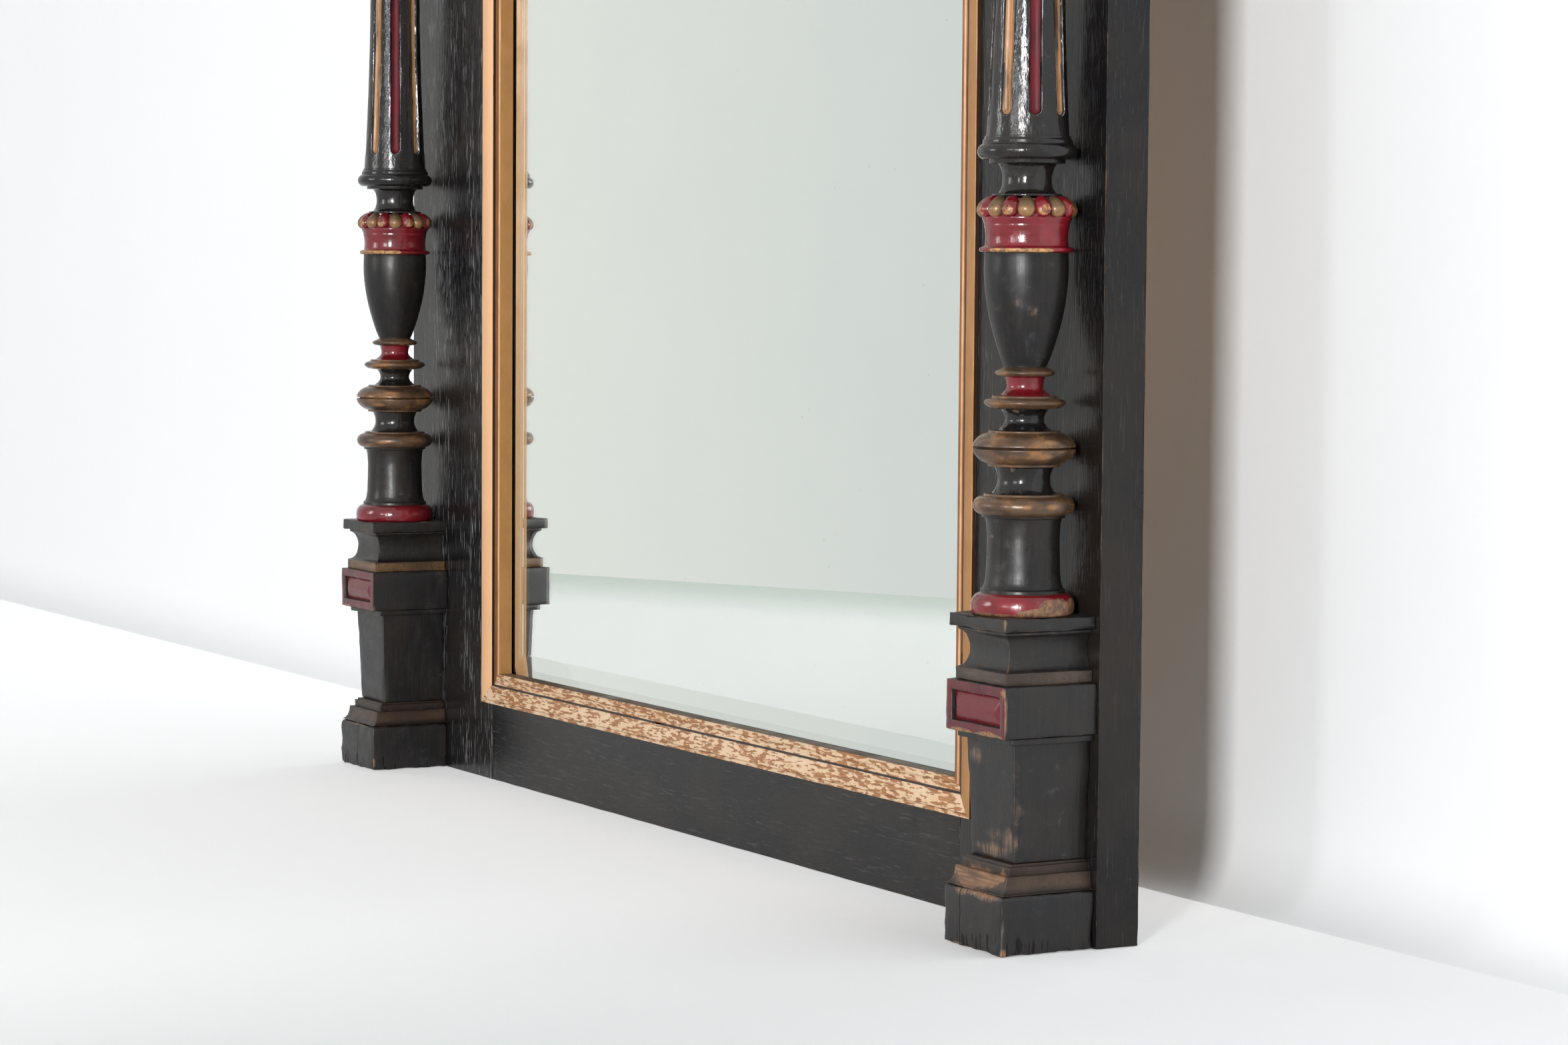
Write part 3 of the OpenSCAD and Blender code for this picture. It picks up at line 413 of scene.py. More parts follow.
def silvering():
    """The mirror's silver, with a faint haze and a few dark specks."""
    s = Shader("silvering")
    haze = s.noise(7, detail=5, rough=0.6)
    spots = s.cells(55)
    colour = s.mix(s.step(haze, 0.3, 0.75), srgb(249, 252, 249), srgb(246, 250, 247))
    colour = s.mix(s.step(spots, 0.05, 0.02, 0, 0.35), colour, srgb(150, 150, 140))
    return s.finish(colour, 0.006, metal=1.0)


def clear_glass():
    """Glass with a slight green cast."""
    s = Shader("clear_glass")
    b = s.bsdf.inputs
    b["Base Color"].default_value = (0.985, 0.994, 0.986, 1)
    b["Transmission Weight"].default_value = 1.0
    b["IOR"].default_value = 1.5
    b["Roughness"].default_value = 0.0
    return s.mat


FLAKE_UNDER = srgb(168, 116, 72)
FLAKE_DARK = srgb(136, 90, 55)
WOOD_UNDER = (BARE_BROWN, BARE_ORANGE)
GOLD_UNDER = (BARE_BROWN, GOLD)
DARK_UNDER = (srgb(76, 52, 36), srgb(124, 88, 58))

# Pale streaks by face: many on the left stile's front, few on the right front and on the sides. They are wax
# in the pores and painted sheen on the left front; the right front, in the column's shade, gets few as
# painted shade.
OAK_FRONT = {"left": ebonised_oak("oak_front_left", "z", 0.5, 0.04 * MM, 0.36, 0.2),
             "right": ebonised_oak("oak_front_right", "z", 0.08, 0.03 * MM, 0.36, 0.12)}
OAK_SIDE = ebonised_oak("oak_side", "z", 0.03, 0.04 * MM, 0.28)
OAK_X = ebonised_oak("oak_x", "x", 0.07, 0.05 * MM, 0.30)
SATIN = ebonised_wood("ebonised_satin", 0.34, 0.5, wear=0.5)
BASE_SATIN = {"left": ebonised_wood("ebonised_base_left", 0.36, 0.52, wear=0.6, crack_x=-0.4955),
              "right": ebonised_wood("ebonised_base_right", 0.36, 0.52, wear=0.6, crack_x=0.487)}
URN_SATIN = ebonised_wood("ebonised_urn", 0.3, 0.42, specular=0.3)
GLOSS = ebonised_wood("ebonised_gloss", 0.12, 0.24, ripple=0.25 * MM)
DRUM = ebonised_wood("ebonised_drum", 0.26, 0.4, specular=0.32)
# RIPPLED has a painted highlight along its flute rims.
RIPPLED = ebonised_wood("ebonised_rippled", 0.14, 0.28, ripple=0.7 * MM, rim=True)
RED_GLOSS = red_lacquer("red_gloss", RED_DARK, RED, 0.14, DARK_UNDER)
RED_BAND = red_lacquer("red_band", RED_DARK, RED, 0.15, GOLD_UNDER)
RED_BEAD = red_lacquer("red_bead", RED_DARK, RED, 0.16, GOLD_UNDER)
RED_FLUTE = red_lacquer("red_flute", srgb(76, 17, 26), srgb(100, 23, 33), 0.5, WOOD_UNDER)
RED_PANEL = red_lacquer("red_panel", MAROON, BURGUNDY, 0.26, WOOD_UNDER)
RED_FIELD = red_lacquer("red_field", BURGUNDY, RED_DARK, 0.22, WOOD_UNDER)
BRONZED = bronzed_wood()
GILT_BEAD = gilt_bead()
GILT_FLUTE = gilt("gilt_flute", "z", srgb(164, 121, 80), srgb(122, 88, 54), dark=0.8)
GILT_BAND = gilt("gilt_band", "x", srgb(108, 80, 51), srgb(72, 53, 36), dark=0.6, dust=0.04)
DULL_BAND = gilt("dull_band", "x", srgb(78, 65, 54), srgb(52, 43, 36), dark=0.5, dust=0.05)
GILT_X = gilt("gilt_x", "x", PEACH, GOLD)
# The right slip's face is a darker copy of the left one's gilt: painted shade.
GILT_LEFT = gilt("gilt_left", "z", PEACH, srgb(222, 172, 126))
GILT_RIGHT_SHADED = gilt("gilt_right_shaded", "z", srgb(166, 117, 64), srgb(150, 103, 52))
GILT_INNER_X = gilt("gilt_inner_x", "x", OCHRE, srgb(164, 118, 64), dust=0.1)
GILT_INNER_Z = gilt("gilt_inner_z", "z", OCHRE, srgb(164, 118, 64), dust=0.1)
# The hollow strip of the side slips is painted a darker brown: painted shade.
GILT_HOLLOW_SHADE = gilt("gilt_hollow_shade", "z", srgb(134, 88, 44), srgb(116, 74, 36), dust=0.05)
# The bead's two lines are painted paler: painted highlights.
GILT_LINE_HIGHLIGHT = gilt("gilt_line_highlight", "z", srgb(206, 158, 116), srgb(186, 134, 94), dust=0.3)
GILT_DIRTY = gilt("gilt_dirty", "x", srgb(122, 102, 80), srgb(92, 74, 56), dark=0.5)
GILT_FLAKED = gilt("gilt_flaked", "x", srgb(220, 190, 156), srgb(212, 178, 140), flaking=True)
# Dark brown for the slip's outer side and for the slot by the glass: painted shade.
SHADE_BROWN = gilt("edge_shade_brown", "z", srgb(66, 42, 26), srgb(50, 33, 22), dust=0.05)
MOULD_BROWN = gilt("mould_brown", "x", srgb(72, 54, 40), srgb(44, 33, 26), dark=0.6, dust=0.04)
PINE = pine("pine", 90, 1.0)
BOARD_PINE = [pine(f"board_pine_{i}", *board) for i, board in enumerate(BOARDS, 1)]
BRASS = brass()
SILVER = silvering()
GLASS = clear_glass()


# ---- Mesh tools

WEAR_REACH = 12 * MM       # how far from an arris its wear reaches, and from a crease its dirt and painted shade
WORN_FROM = 0.55           # the nearness from which the wood itself is worn down
ARRIS_ANGLE = 22           # degrees between two faces that meet in an arris or a crease
SHARP_ANGLE = 38           # degrees above which an edge is left sharp
SAME_POINT = 1e-6


def cad_mesh(node):
    """A bmesh of a CAD node, as it comes."""
    bm = bmesh.new()
    bm.from_mesh(frame["nodes"][node].data)
    return bm


def cad_copy(node):
    """A welded copy of a CAD node's mesh, with its flat faces joined."""
    bm = cad_mesh(node)
    bmesh.ops.remove_doubles(bm, verts=bm.verts, dist=2 * SAME_POINT)
    bmesh.ops.dissolve_limit(bm, angle_limit=math.radians(0.6), verts=bm.verts, edges=bm.edges)
    return bm


def hard_edges(bm, angle):
    """The edges whose faces meet at more than an angle."""
    return [e for e in bm.edges if len(e.link_faces) == 2 and e.calc_face_angle(0) > angle]


def edge_segments(edges):
    """The ends of the convex edges and of the hollow ones."""
    convex, inner = [], []
    for e in edges:
        ends = (tuple(e.verts[0].co), tuple(e.verts[1].co))
        (convex if e.is_convex else inner).append(ends)
    return convex, inner


def nearness(points, segments, reach):
    """1 on a segment, falling to 0 at the reach."""
    best = np.full(len(points), reach)
    for a, b in segments:
        a, b = np.array(a), np.array(b)
        run = b - a
        t = np.clip((points - a) @ run / max(float(run @ run), 1e-12), 0, 1)
        best = np.minimum(best, np.linalg.norm(points - a - t[:, None] * run, axis=1))
    return 1 - best / reach


def slice_mesh(bm, axis, places):
    """Cuts the mesh across one axis at each place."""
    normal = [0, 0, 0]
    normal[axis] = 1
    for place in places:
        point = [0, 0, 0]
        point[axis] = place
        geom = bm.verts[:] + bm.edges[:] + bm.faces[:]
        bmesh.ops.bisect_plane(bm, geom=geom, dist=SAME_POINT, plane_co=point, plane_no=normal)


def cut_places(low, high, spacing, near_edges):
    """Places for cuts: close to both ends, then evenly between."""
    near_edges = [k for k in near_edges if k < (high - low) / 2 - MM]
    places = {low + k for k in near_edges} | {high - k for k in near_edges}
    inner_low = low + max(near_edges, default=0)
    inner_high = high - (inner_low - low)
    count = int((inner_high - inner_low) / spacing)
    for i in range(1, count):
        places.add(inner_low + (inner_high - inner_low) * i / count)
    return sorted(places)


def write_attribute(mesh, name, values):
    """Writes one value for each point, or the same one for all."""
    layer = mesh.attributes.new(name, "FLOAT", "POINT")
    layer.data.foreach_set("value", np.full(len(mesh.vertices), values, dtype=np.float32))


def points_of(bm):
    return np.array([v.co[:] for v in bm.verts])


def skin(bm, rows, closed=True):
    """Faces between rows of points; a row of one point closes an end."""
    for low, high in zip(rows, rows[1:]):
        count = max(len(low), len(high))
        low, high = (row * count if len(row) == 1 else row for row in (low, high))
        for k in range(count if closed else count - 1):
            j = (k + 1) % count
            corners = list(dict.fromkeys((low[k], low[j], high[j], high[k])))
            if len(corners) > 2:
                bm.faces.new(corners)


def fbm(point, scale, seed):
    """Layered noise at a point."""
    return noise.fractal(Vector(point) * scale + Vector((seed, 3.1 * seed, 0)), 1.0, 2.0, 3)


def painted(points, patches):
    """Strength of the painted wear patches, each (centre, reach, strength) in metres."""
    worn = np.zeros(len(points))
    for centre, reach, strength in patches:
        away = np.linalg.norm((points - np.array(centre)) / np.array(reach), axis=1)
        worn = np.maximum(worn, strength * np.clip(1.25 - away, 0, 1))
    return worn


def add_object(name, data):
    """Puts an object with the given data into the scene."""
    obj = bpy.data.objects.new(name, data)
    bpy.context.scene.collection.objects.link(obj)
    return obj


def mesh_object(bm, name, materials):
    """Turns a bmesh into an object of the scene."""
    mesh = bpy.data.meshes.new(name)
    bm.to_mesh(mesh)
    bm.free()
    for m in materials:
        mesh.materials.append(m)
    return add_object(name, mesh)


def publish(bm, name, node, slot, materials):
    """Makes an object of a bmesh and puts it in the node's place."""
    obj = mesh_object(bm, name, materials)
    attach(obj, BODY)
    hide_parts(node)
    return obj


def publish_worn(bm, node, slot, materials, index, arris, crease, worn=0.0, sharp=None):
    """Publishes a piece with its faces' materials and, for each point, how far it stands proud, how deep
    it lies in a crease and how worn it is; edges above the sharp angle stay sharp."""
    obj = publish(bm, node + "_dressed", node, slot, materials)
    mesh = obj.data
    if callable(index):
        index = [index(face.center, face.normal) for face in mesh.polygons]
    if index is not None:
        mesh.polygons.foreach_set("material_index", index)
    for name, values in (("arris", arris), ("crease", crease), ("worn", worn)):
        write_attribute(mesh, name, values)
    mesh.shade_smooth()
    if sharp:
        mesh.set_sharp_from_angle(angle=math.radians(sharp))


def dress(node, slot, materials, pick=None, bevel=0.9 * MM, spacing=(5 * MM,) * 3,
          near=(3 * MM, 7 * MM, 12 * MM), wear=0.5 * MM, patches=(), seed=1.0):
    """A CAD node with rounded, worn and slightly uneven arrises."""
    bm = cad_copy(node)
    hard = hard_edges(bm, math.radians(ARRIS_ANGLE))
    convex, inner = edge_segments(hard)
    bmesh.ops.bevel(bm, geom=[e for e in hard if e.is_convex], offset=bevel, segments=2, profile=0.6,
                    affect="EDGES", clamp_overlap=True, loop_slide=True)
    low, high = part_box(node)
    for axis in range(3):
        slice_mesh(bm, axis, cut_places(low[axis], high[axis], spacing[axis], near))
    bm.normal_update()
    points = points_of(bm)
    arris = nearness(points, convex, WEAR_REACH)
    for v, near_edge in zip(bm.verts, arris):
        if near_edge > WORN_FROM:
            rough = max(0.0, 0.35 + fbm(v.co, 60, seed) + 0.5 * fbm(v.co, 210, seed + 7))
            v.co -= v.normal * wear * rough * ((near_edge - WORN_FROM) / (1 - WORN_FROM)) ** 2
    # Nearness to a hollow edge: it darkens red and gilt with dirt and painted shade.
    crease = nearness(points, inner, WEAR_REACH)
    worn = painted(points, patches)
    publish_worn(bm, node, slot, materials, pick, arris, crease, worn, sharp=SHARP_ANGLE)


# ---- Turned pieces

def axis_of(node):
    """The foot of a turned node's axis, at z = 0."""
    low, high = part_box(node)
    return Vector(((low[0] + high[0]) / 2, (low[1] + high[1]) / 2, 0))


def radius_reader(node):
    """A function that gives the turned node's radius at a height, and its lowest and highest levels."""
    bm = cad_mesh(node)
    tree = BVHTree.FromBMesh(bm)
    bm.free()
    low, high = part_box(node)
    axis, out = axis_of(node), Vector((0, -1, 0))

    def radius(z):
        hit = tree.ray_cast(axis + out * 0.2 + Vector((0, 0, z)), -out, 0.2)[0]
        return (hit - axis).xy.length if hit else 0.0
    return radius, low[2], high[2]


def read_profile(node):
    """Points (radius, height) up the turned node, with its shoulders found exactly."""
    radius, z0, z1 = radius_reader(node)
    inset, step, jump = 0.02 * MM, 0.4 * MM, 0.7 * MM
    count = max(2, round((z1 - z0 - 2 * inset) / step))
    heights = [z0 + inset + (z1 - z0 - 2 * inset) * i / count for i in range(count + 1)]
    points = [(0.0, z0), (radius(heights[0]), z0)]
    for a, b in zip(heights, heights[1:]):
        ra, rb = radius(a), radius(b)
        if abs(ra - rb) > jump:
            lo, hi = a, b
            for _ in range(9):
                mid = (lo + hi) / 2
                lo, hi = (mid, hi) if abs(radius(mid) - ra) < abs(radius(mid) - rb) else (lo, mid)
            points += [(ra, lo), (rb, hi)]
        points.append((rb, b))
    return points + [(points[-1][0], z1), (0.0, z1)]


PROFILE_STEP, SOFTEN_PASSES = 0.3 * MM, 2       # how an outline's corners are rounded
PROFILE_OFF, PROFILE_LONGEST = 0.025 * MM, 3 * MM      # how far its points are thinned out
SEGMENTS = 96              # of a turned piece, all round
DENTS, DENT_SCALE = 0.12 * MM, 40      # how deep its dents are, and how close together
ON_AXIS = ON_PLANE = 0.01 * MM         # what is nearer than this lies on it


def resample(points, spacing):
    """Even points along a polyline."""
    p = np.array(points)
    run = np.concatenate([[0], np.cumsum(np.linalg.norm(np.diff(p, axis=0), axis=1))])
    count = max(2, int(run[-1] / spacing))
    at = np.linspace(0, run[-1], count + 1)
    return np.stack([np.interp(at, run, p[:, 0]), np.interp(at, run, p[:, 1])], axis=1)


def soften(points):
    """Rounds the corners of an evenly spaced profile a little."""
    p = points.copy()
    for _ in range(SOFTEN_PASSES):
        p[1:-1] = (p[:-2] + 2 * p[1:-1] + p[2:]) / 4
    return p


def thin_out(points):
    """Drops the points that the shape doesn't need."""
    kept, start = [0], 0
    for i in range(2, len(points)):
        chord = points[i] - points[start]
        length = np.linalg.norm(chord)
        inner = points[start + 1:i] - points[start]
        off = np.abs(inner[:, 0] * chord[1] - inner[:, 1] * chord[0]) / max(length, 1e-9)
        if off.max() > PROFILE_OFF or length > PROFILE_LONGEST:
            start = i - 1
            kept.append(start)
    return points[kept + [len(points) - 1]]


def lathe(bm, profile, axis, segments, wobble):
    """Sweeps a profile that starts and ends on the axis."""
    rows = []
    for r, z in profile:
        if r < ON_AXIS:
            rows.append([bm.verts.new(axis + Vector((0, 0, z)))])
            continue
        ring = []
        for k in range(segments):
            a = 2 * math.pi * k / segments
            rr = r + wobble(a, z, r)
            ring.append(bm.verts.new(axis + Vector((rr * math.cos(a), rr * math.sin(a), z))))
        rows.append(ring)
    skin(bm, rows)


FULL_LIFT = 3.5 * MM       # a ring that stands this far out counts as fully proud
SURROUNDINGS = 5 * MM      # up and down the profile


def proudness(profile):
    """How far each profile point stands out of, or sinks below, its surroundings."""
    p = np.array(profile)
    fine = resample(p, 0.5 * MM)
    local = np.array([fine[np.abs(fine[:, 1] - z) < SURROUNDINGS][:, 0].mean() for z in p[:, 1]])
    lift = (p[:, 0] - local) / FULL_LIFT
    return np.clip(lift, 0, 1), np.clip(-lift, 0, 1)


def turn(node, outline, materials, pick=None, patches=()):
    """A turned piece swept from its outline, with softened corners and a hand-turned unevenness."""
    profile = thin_out(soften(resample(outline, PROFILE_STEP)))
    profile[0] = 0, outline[0][1]
    profile[-1] = 0, outline[-1][1]
    bm = bmesh.new()

    def wobble(a, z, r):
        place = (math.cos(a) * r * DENT_SCALE, math.sin(a) * r * DENT_SCALE, z * DENT_SCALE + 1.0)
        return DENTS * (noise.noise(Vector(place)) - 0.6)
    lathe(bm, profile, axis_of(node), SEGMENTS, wobble)
    lift, sink = proudness(profile)
    rows = np.repeat(np.arange(len(profile)), [1 if r < ON_AXIS else SEGMENTS for r, _ in profile])
    worn = painted(points_of(bm), patches)
    # How far a point sinks below its surroundings darkens it with dirt and painted shade.
    publish_worn(bm, node, "ebonised_wood", materials, pick, lift[rows], sink[rows], worn)


# ---- Columns

TOP = math.inf             # the top of a column's last band


def band_picker(*bands):
    """Chooses a material by height: (top of the band in mm, material index) pairs."""
    return lambda centre, normal: next(index for top, index in bands if centre.z < top * MM)


def column_axis(side):
    return axis_of("column_foot_" + side)


def around(side, angle, radius, z):
    """A point on a column, from mm: the angle is measured from the front, towards +X."""
    a = math.radians(angle)
    axis = column_axis(side)
    return (axis.x + radius * MM * math.sin(a), axis.y - radius * MM * math.cos(a), z * MM)


def spot(side, angle, radius, z, wide, high, strength=1.0):
    """A wear patch on a column, from mm."""
    return (around(side, angle, radius, z), (wide * MM, wide * MM, high * MM), strength)


# The patches on each column: angle, radius, height, half width, half height, strength
FOOT_WEAR = {
    "left": [(200, 31, 219, 17, 6), (40, 31, 313, 9, 2.2), (50, 31, 281, 12, 2.6)],
    "right": [(angle, 31, 218, 17, 7) for angle in (100, 130, 160, 190)] + [
        (72, 31, 215, 13, 3.4), (20, 30, 213, 22, 2), (82, 31, 313.5, 9, 3.4), (60, 32, 282, 6, 2.4),
        (33, 18, 305, 3.4, 2.2, 0.8), (-3, 22.5, 262.9, 4.5, 1.4), (92, 32, 282, 8, 2.8)]}
URN_WEAR = {
    "left": [(angle, 30, 443.4, 8, 2.2) for angle in (-30, -18, -6, 6, 18, 30, 42, 54, 64)] + [
        (62, 32, 323, 12, 2.4), (40, 25, 346.6, 8, 1.4)],
    "right": [(angle, 30, 442.7, 7, 1.5) for angle in (14, 25, 36, 47, 58, 72, 82)] + [
        (70, 26, 404, 7, 6, 0.42), (46, 25, 410, 6, 5, 0.4), (88, 31, 322.6, 9, 2.6),
        (35, 14, 342, 3, 2, 0.8)]}


# Outlines in mm: (radius, height) points

def in_metres(outline):
    return [(r * MM, z * MM) for r, z in outline]


def cushion(z0, z1, edge, full):
    """A torus between two levels."""
    points = []
    for i in range(13):
        t = i / 6 - 1
        swell = (1 - abs(t) ** 1.9) ** 0.62
        points.append((edge + (full - edge) * swell, (z0 + z1) / 2 + t * (z1 - z0) / 2))
    return points


def dome(z0, z1, edge, full):
    """Half a cushion: full at the first level, drawn in to its edge at the second."""
    steps = [i / 8 for i in range(9)]
    return [(edge + (full - edge) * (1 - t ** 1.8) ** 0.7, z0 + (z1 - z0) * t) for t in steps]


def hollow(z0, z1, r0, waist, r1):
    """A neck that narrows to its waist."""
    points = []
    for i in range(13):
        t = i / 6 - 1
        end = r0 if t < 0 else r1
        points.append((waist + (end - waist) * t * t, (z0 + z1) / 2 + t * (z1 - z0) / 2))
    return points


def belly(z0, height, foot_r, full_r):
    """The urn: a quarter sweep from its foot, drawn in a little at the top."""
    points = []
    for i in range(13):
        t = i / 12
        sweep = math.sin(math.radians(90 * min(1, t * 1.12))) ** 0.86
        points.append((foot_r + (full_r - foot_r) * sweep - 2.6 * max(0, t - 0.85), z0 + height * t))
    return points


FOOT_OUTLINE = (
    [(0, 212.6), (31.4, 212.6), (32.6, 213.8), (33, 216), (33, 219.4), (32.2, 222.6), (30, 225.2),
     (27.4, 226.2), (27, 226.4), (27, 228.6), (25.6, 229.4), (24.5, 232.4), (23.7, 238), (23.3, 250),
     (23.1, 262), (23.7, 270), (24.5, 273.9), (26.6, 274.1), (26.6, 275.8)]
    + cushion(275.8, 287.6, 27.4, 32.5)
    + [(25.6, 287.8), (25.6, 289.2)] + hollow(289.4, 306.3, 20.6, 16.7, 19)
    + [(23.2, 306.5), (23.2, 308.1)] + dome(317.7, 308.1, 23.6, 32.9)[::-1]
    + [(30.2, 317.9), (30.2, 318.4), (0, 318.4)])
URN_OUTLINE = (
    [(0, 318.4), (30.2, 318.4), (30.2, 318.9)] + dome(319.1, 327.9, 23.4, 32.9)
    + [(22.8, 328), (22.8, 329.2)] + hollow(329.4, 342.8, 17.6, 12.4, 15.4)
    + [(19, 343), (23, 343.8), (25.9, 346), (26.2, 347.2), (24.8, 348.8), (21.8, 349.7), (21, 350),
       (21, 351.2)]
    + hollow(351.4, 363.2, 17, 11.6, 13)
    + [(13.6, 363.4), (17.8, 364), (19.4, 365.5), (18.7, 366.9), (15.8, 368.3), (13.8, 369.3)]
    + belly(369.5, 72, 13.4, 27)
    + [(27.2, 441.6), (29.4, 441.9), (30.2, 443), (29.9, 444.4), (27.8, 445.2), (26.5, 445.8),
       (26.2, 448.5), (26.1, 452), (26.4, 455.6), (27, 457.8), (27.2, 458.8), (26.9, 459.3),
       (27.8, 461.4), (28.5, 462.8), (28.5, 464.1), (0, 464.1)])


def foot(side):
    """Lower torus, drum and bronze cushions; the right-hand torus has lost half its red."""
    bands = band_picker((226.3, 0), (275.7, 3), (289.3, 2), (306.4, 1), (TOP, 2))
    turn("column_foot_" + side, in_metres(FOOT_OUTLINE), [RED_GLOSS, GLOSS, BRONZED, DRUM], bands,
         [spot(side, *row) for row in FOOT_WEAR[side]])


def urn(side):
    """Rings and necks up to the urn, its red band and the gilt rim, part rubbed away."""
    bands = band_picker((329.3, 0), (342.9, 1), (351.3, 0), (363.3, 2), (369.4, 0), (441.5, 3), (TOP, 4))
    turn("column_urn_" + side, in_metres(URN_OUTLINE), [BRONZED, GLOSS, RED_GLOSS, URN_SATIN, RED_BAND],
         bands, [spot(side, *row) for row in URN_WEAR[side]])


def collar(side):
    """The neck and torus over the beads; its foot spreads into a flat lip."""
    lip_r, lip_low, lip_high = 22.4 * MM, 476.72 * MM, 478.5 * MM
    outline = [(lip_r if lip_low < z < lip_high and r > 0 else r, z)
               for r, z in read_profile("column_collar_" + side)]
    turn("column_collar_" + side, outline, [GLOSS])


def capital(side):
    """The turned capital, with a red neck."""
    node = "column_capital_" + side
    turn(node, read_profile(node), [GLOSS, RED_GLOSS], band_picker((1228, 0), (1262, 1), (TOP, 0)))


FIRST_GILT_BEAD = {"left": 67.5, "right": 56.25}      # degrees from the front, towards +X


def egg(bm, centre, out, up, half_w, half_h):
    """One bead, its broad end low, leaning in to the neck."""
    around_count, high_count = 16, 10
    across = out.cross(up)
    rows = [[bm.verts.new(centre - up * half_h)]]
    for i in range(1, high_count):
        t = math.pi * i / high_count
        girth = math.sin(t) * (1 + 0.24 * math.cos(t))
        ring = []
        for k in range(around_count):
            a = 2 * math.pi * k / around_count
            flat = across * math.cos(a) * half_w + out * math.sin(a) * half_w * 0.9
            ring.append(bm.verts.new(centre + flat * girth - up * math.cos(t) * half_h))
        rows.append(ring)
    skin(bm, rows + [[bm.verts.new(centre + up * half_h)]])


def bead_ring(side):
    """Beads, gilt and red by turns, on a sloping core."""
    node = "bead_ring_" + side
    low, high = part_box(node)
    axis = column_axis(side)
    half_w, half_h, lean = 5.8 * MM, 7.9 * MM, math.radians(36)
    middle_r, middle_z = 25.2 * MM, 470.6 * MM
    bm = bmesh.new()
    core = in_metres([(0, 464.1), (27.4, 464.1), (26.6, 466.4), (22, 475.4), (0, 475.4)])
    lathe(bm, core, axis, 64, lambda a, z, r: 0.0)
    index = [0] * len(bm.faces)
    for i in range(BEADS):
        a = math.radians(FIRST_GILT_BEAD[side] + 360 * i / BEADS)
        out = Vector((math.sin(a), -math.cos(a), 0))
        up = Vector((0, 0, math.cos(lean))) - out * math.sin(lean)
        face_out = out * math.cos(lean) + Vector((0, 0, math.sin(lean)))
        before = len(bm.faces)
        egg(bm, axis + out * middle_r + Vector((0, 0, middle_z)), face_out, up, half_w, half_h)
        index += [2 - i % 2] * (len(bm.faces) - before)
    bmesh.ops.recalc_face_normals(bm, faces=bm.faces)
    points = points_of(bm)
    rise = (points[:, 2] - low[2]) / (high[2] - low[2])
    reach = np.hypot(points[:, 0] - axis.x, points[:, 1] - axis.y) / (31 * MM)
    swell = np.clip((reach - 0.72) * 4.6, 0, 1) * np.clip(1.5 - rise * 1.2, 0.2, 1)
    # Darker towards the core, low between the beads: dirt and painted shade on the red.
    crease = np.clip((0.80 - reach) * 5, 0, 1) * (rise < 0.6)
    worn = np.clip((reach - 0.93) * 6, 0, 0.42)
    looks = [RED_BAND, RED_BEAD, GILT_BEAD]
    publish_worn(bm, node, "gilt_wood", looks, index, swell, crease, worn, sharp=50)


def flute_angles():
    """Angles round the shaft, closer together across each flute."""
    offsets = (0, 2.6, 4.8, 6.2, 7.2, 8.0, 8.8, 9.6, 10.4, 12, 15.5, 19)
    sector = 360 / FLUTES
    angles = []
    for i in range(FLUTES):
        middle = sector * (i + 0.5)
        angles += [middle - o for o in reversed(offsets[1:])] + [middle + o for o in offsets]
        angles.append(middle + sector / 2)
    return angles, sector


def shaft_heights(z0, z1):
    """Heights up the shaft, closer together at the flutes' ends."""
    rows = [z0 + k * MM for k in (0, 0.4, 1.2, 2.5, 4.5, 7, 9.5)]
    ends = [z0 + FLUTE_END - 5 * MM + 0.45 * MM * i for i in range(14)]
    middle_low, middle_high = ends[-1] + 3 * MM, z1 - (ends[-1] - z0) - 3 * MM
    count = round((middle_high - middle_low) / (5 * MM))
    middle = [middle_low + (middle_high - middle_low) * i / count for i in range(count + 1)]
    mirrored = [z1 - (z - z0) for z in reversed(rows + ends)]
    return rows + ends + middle + mirrored


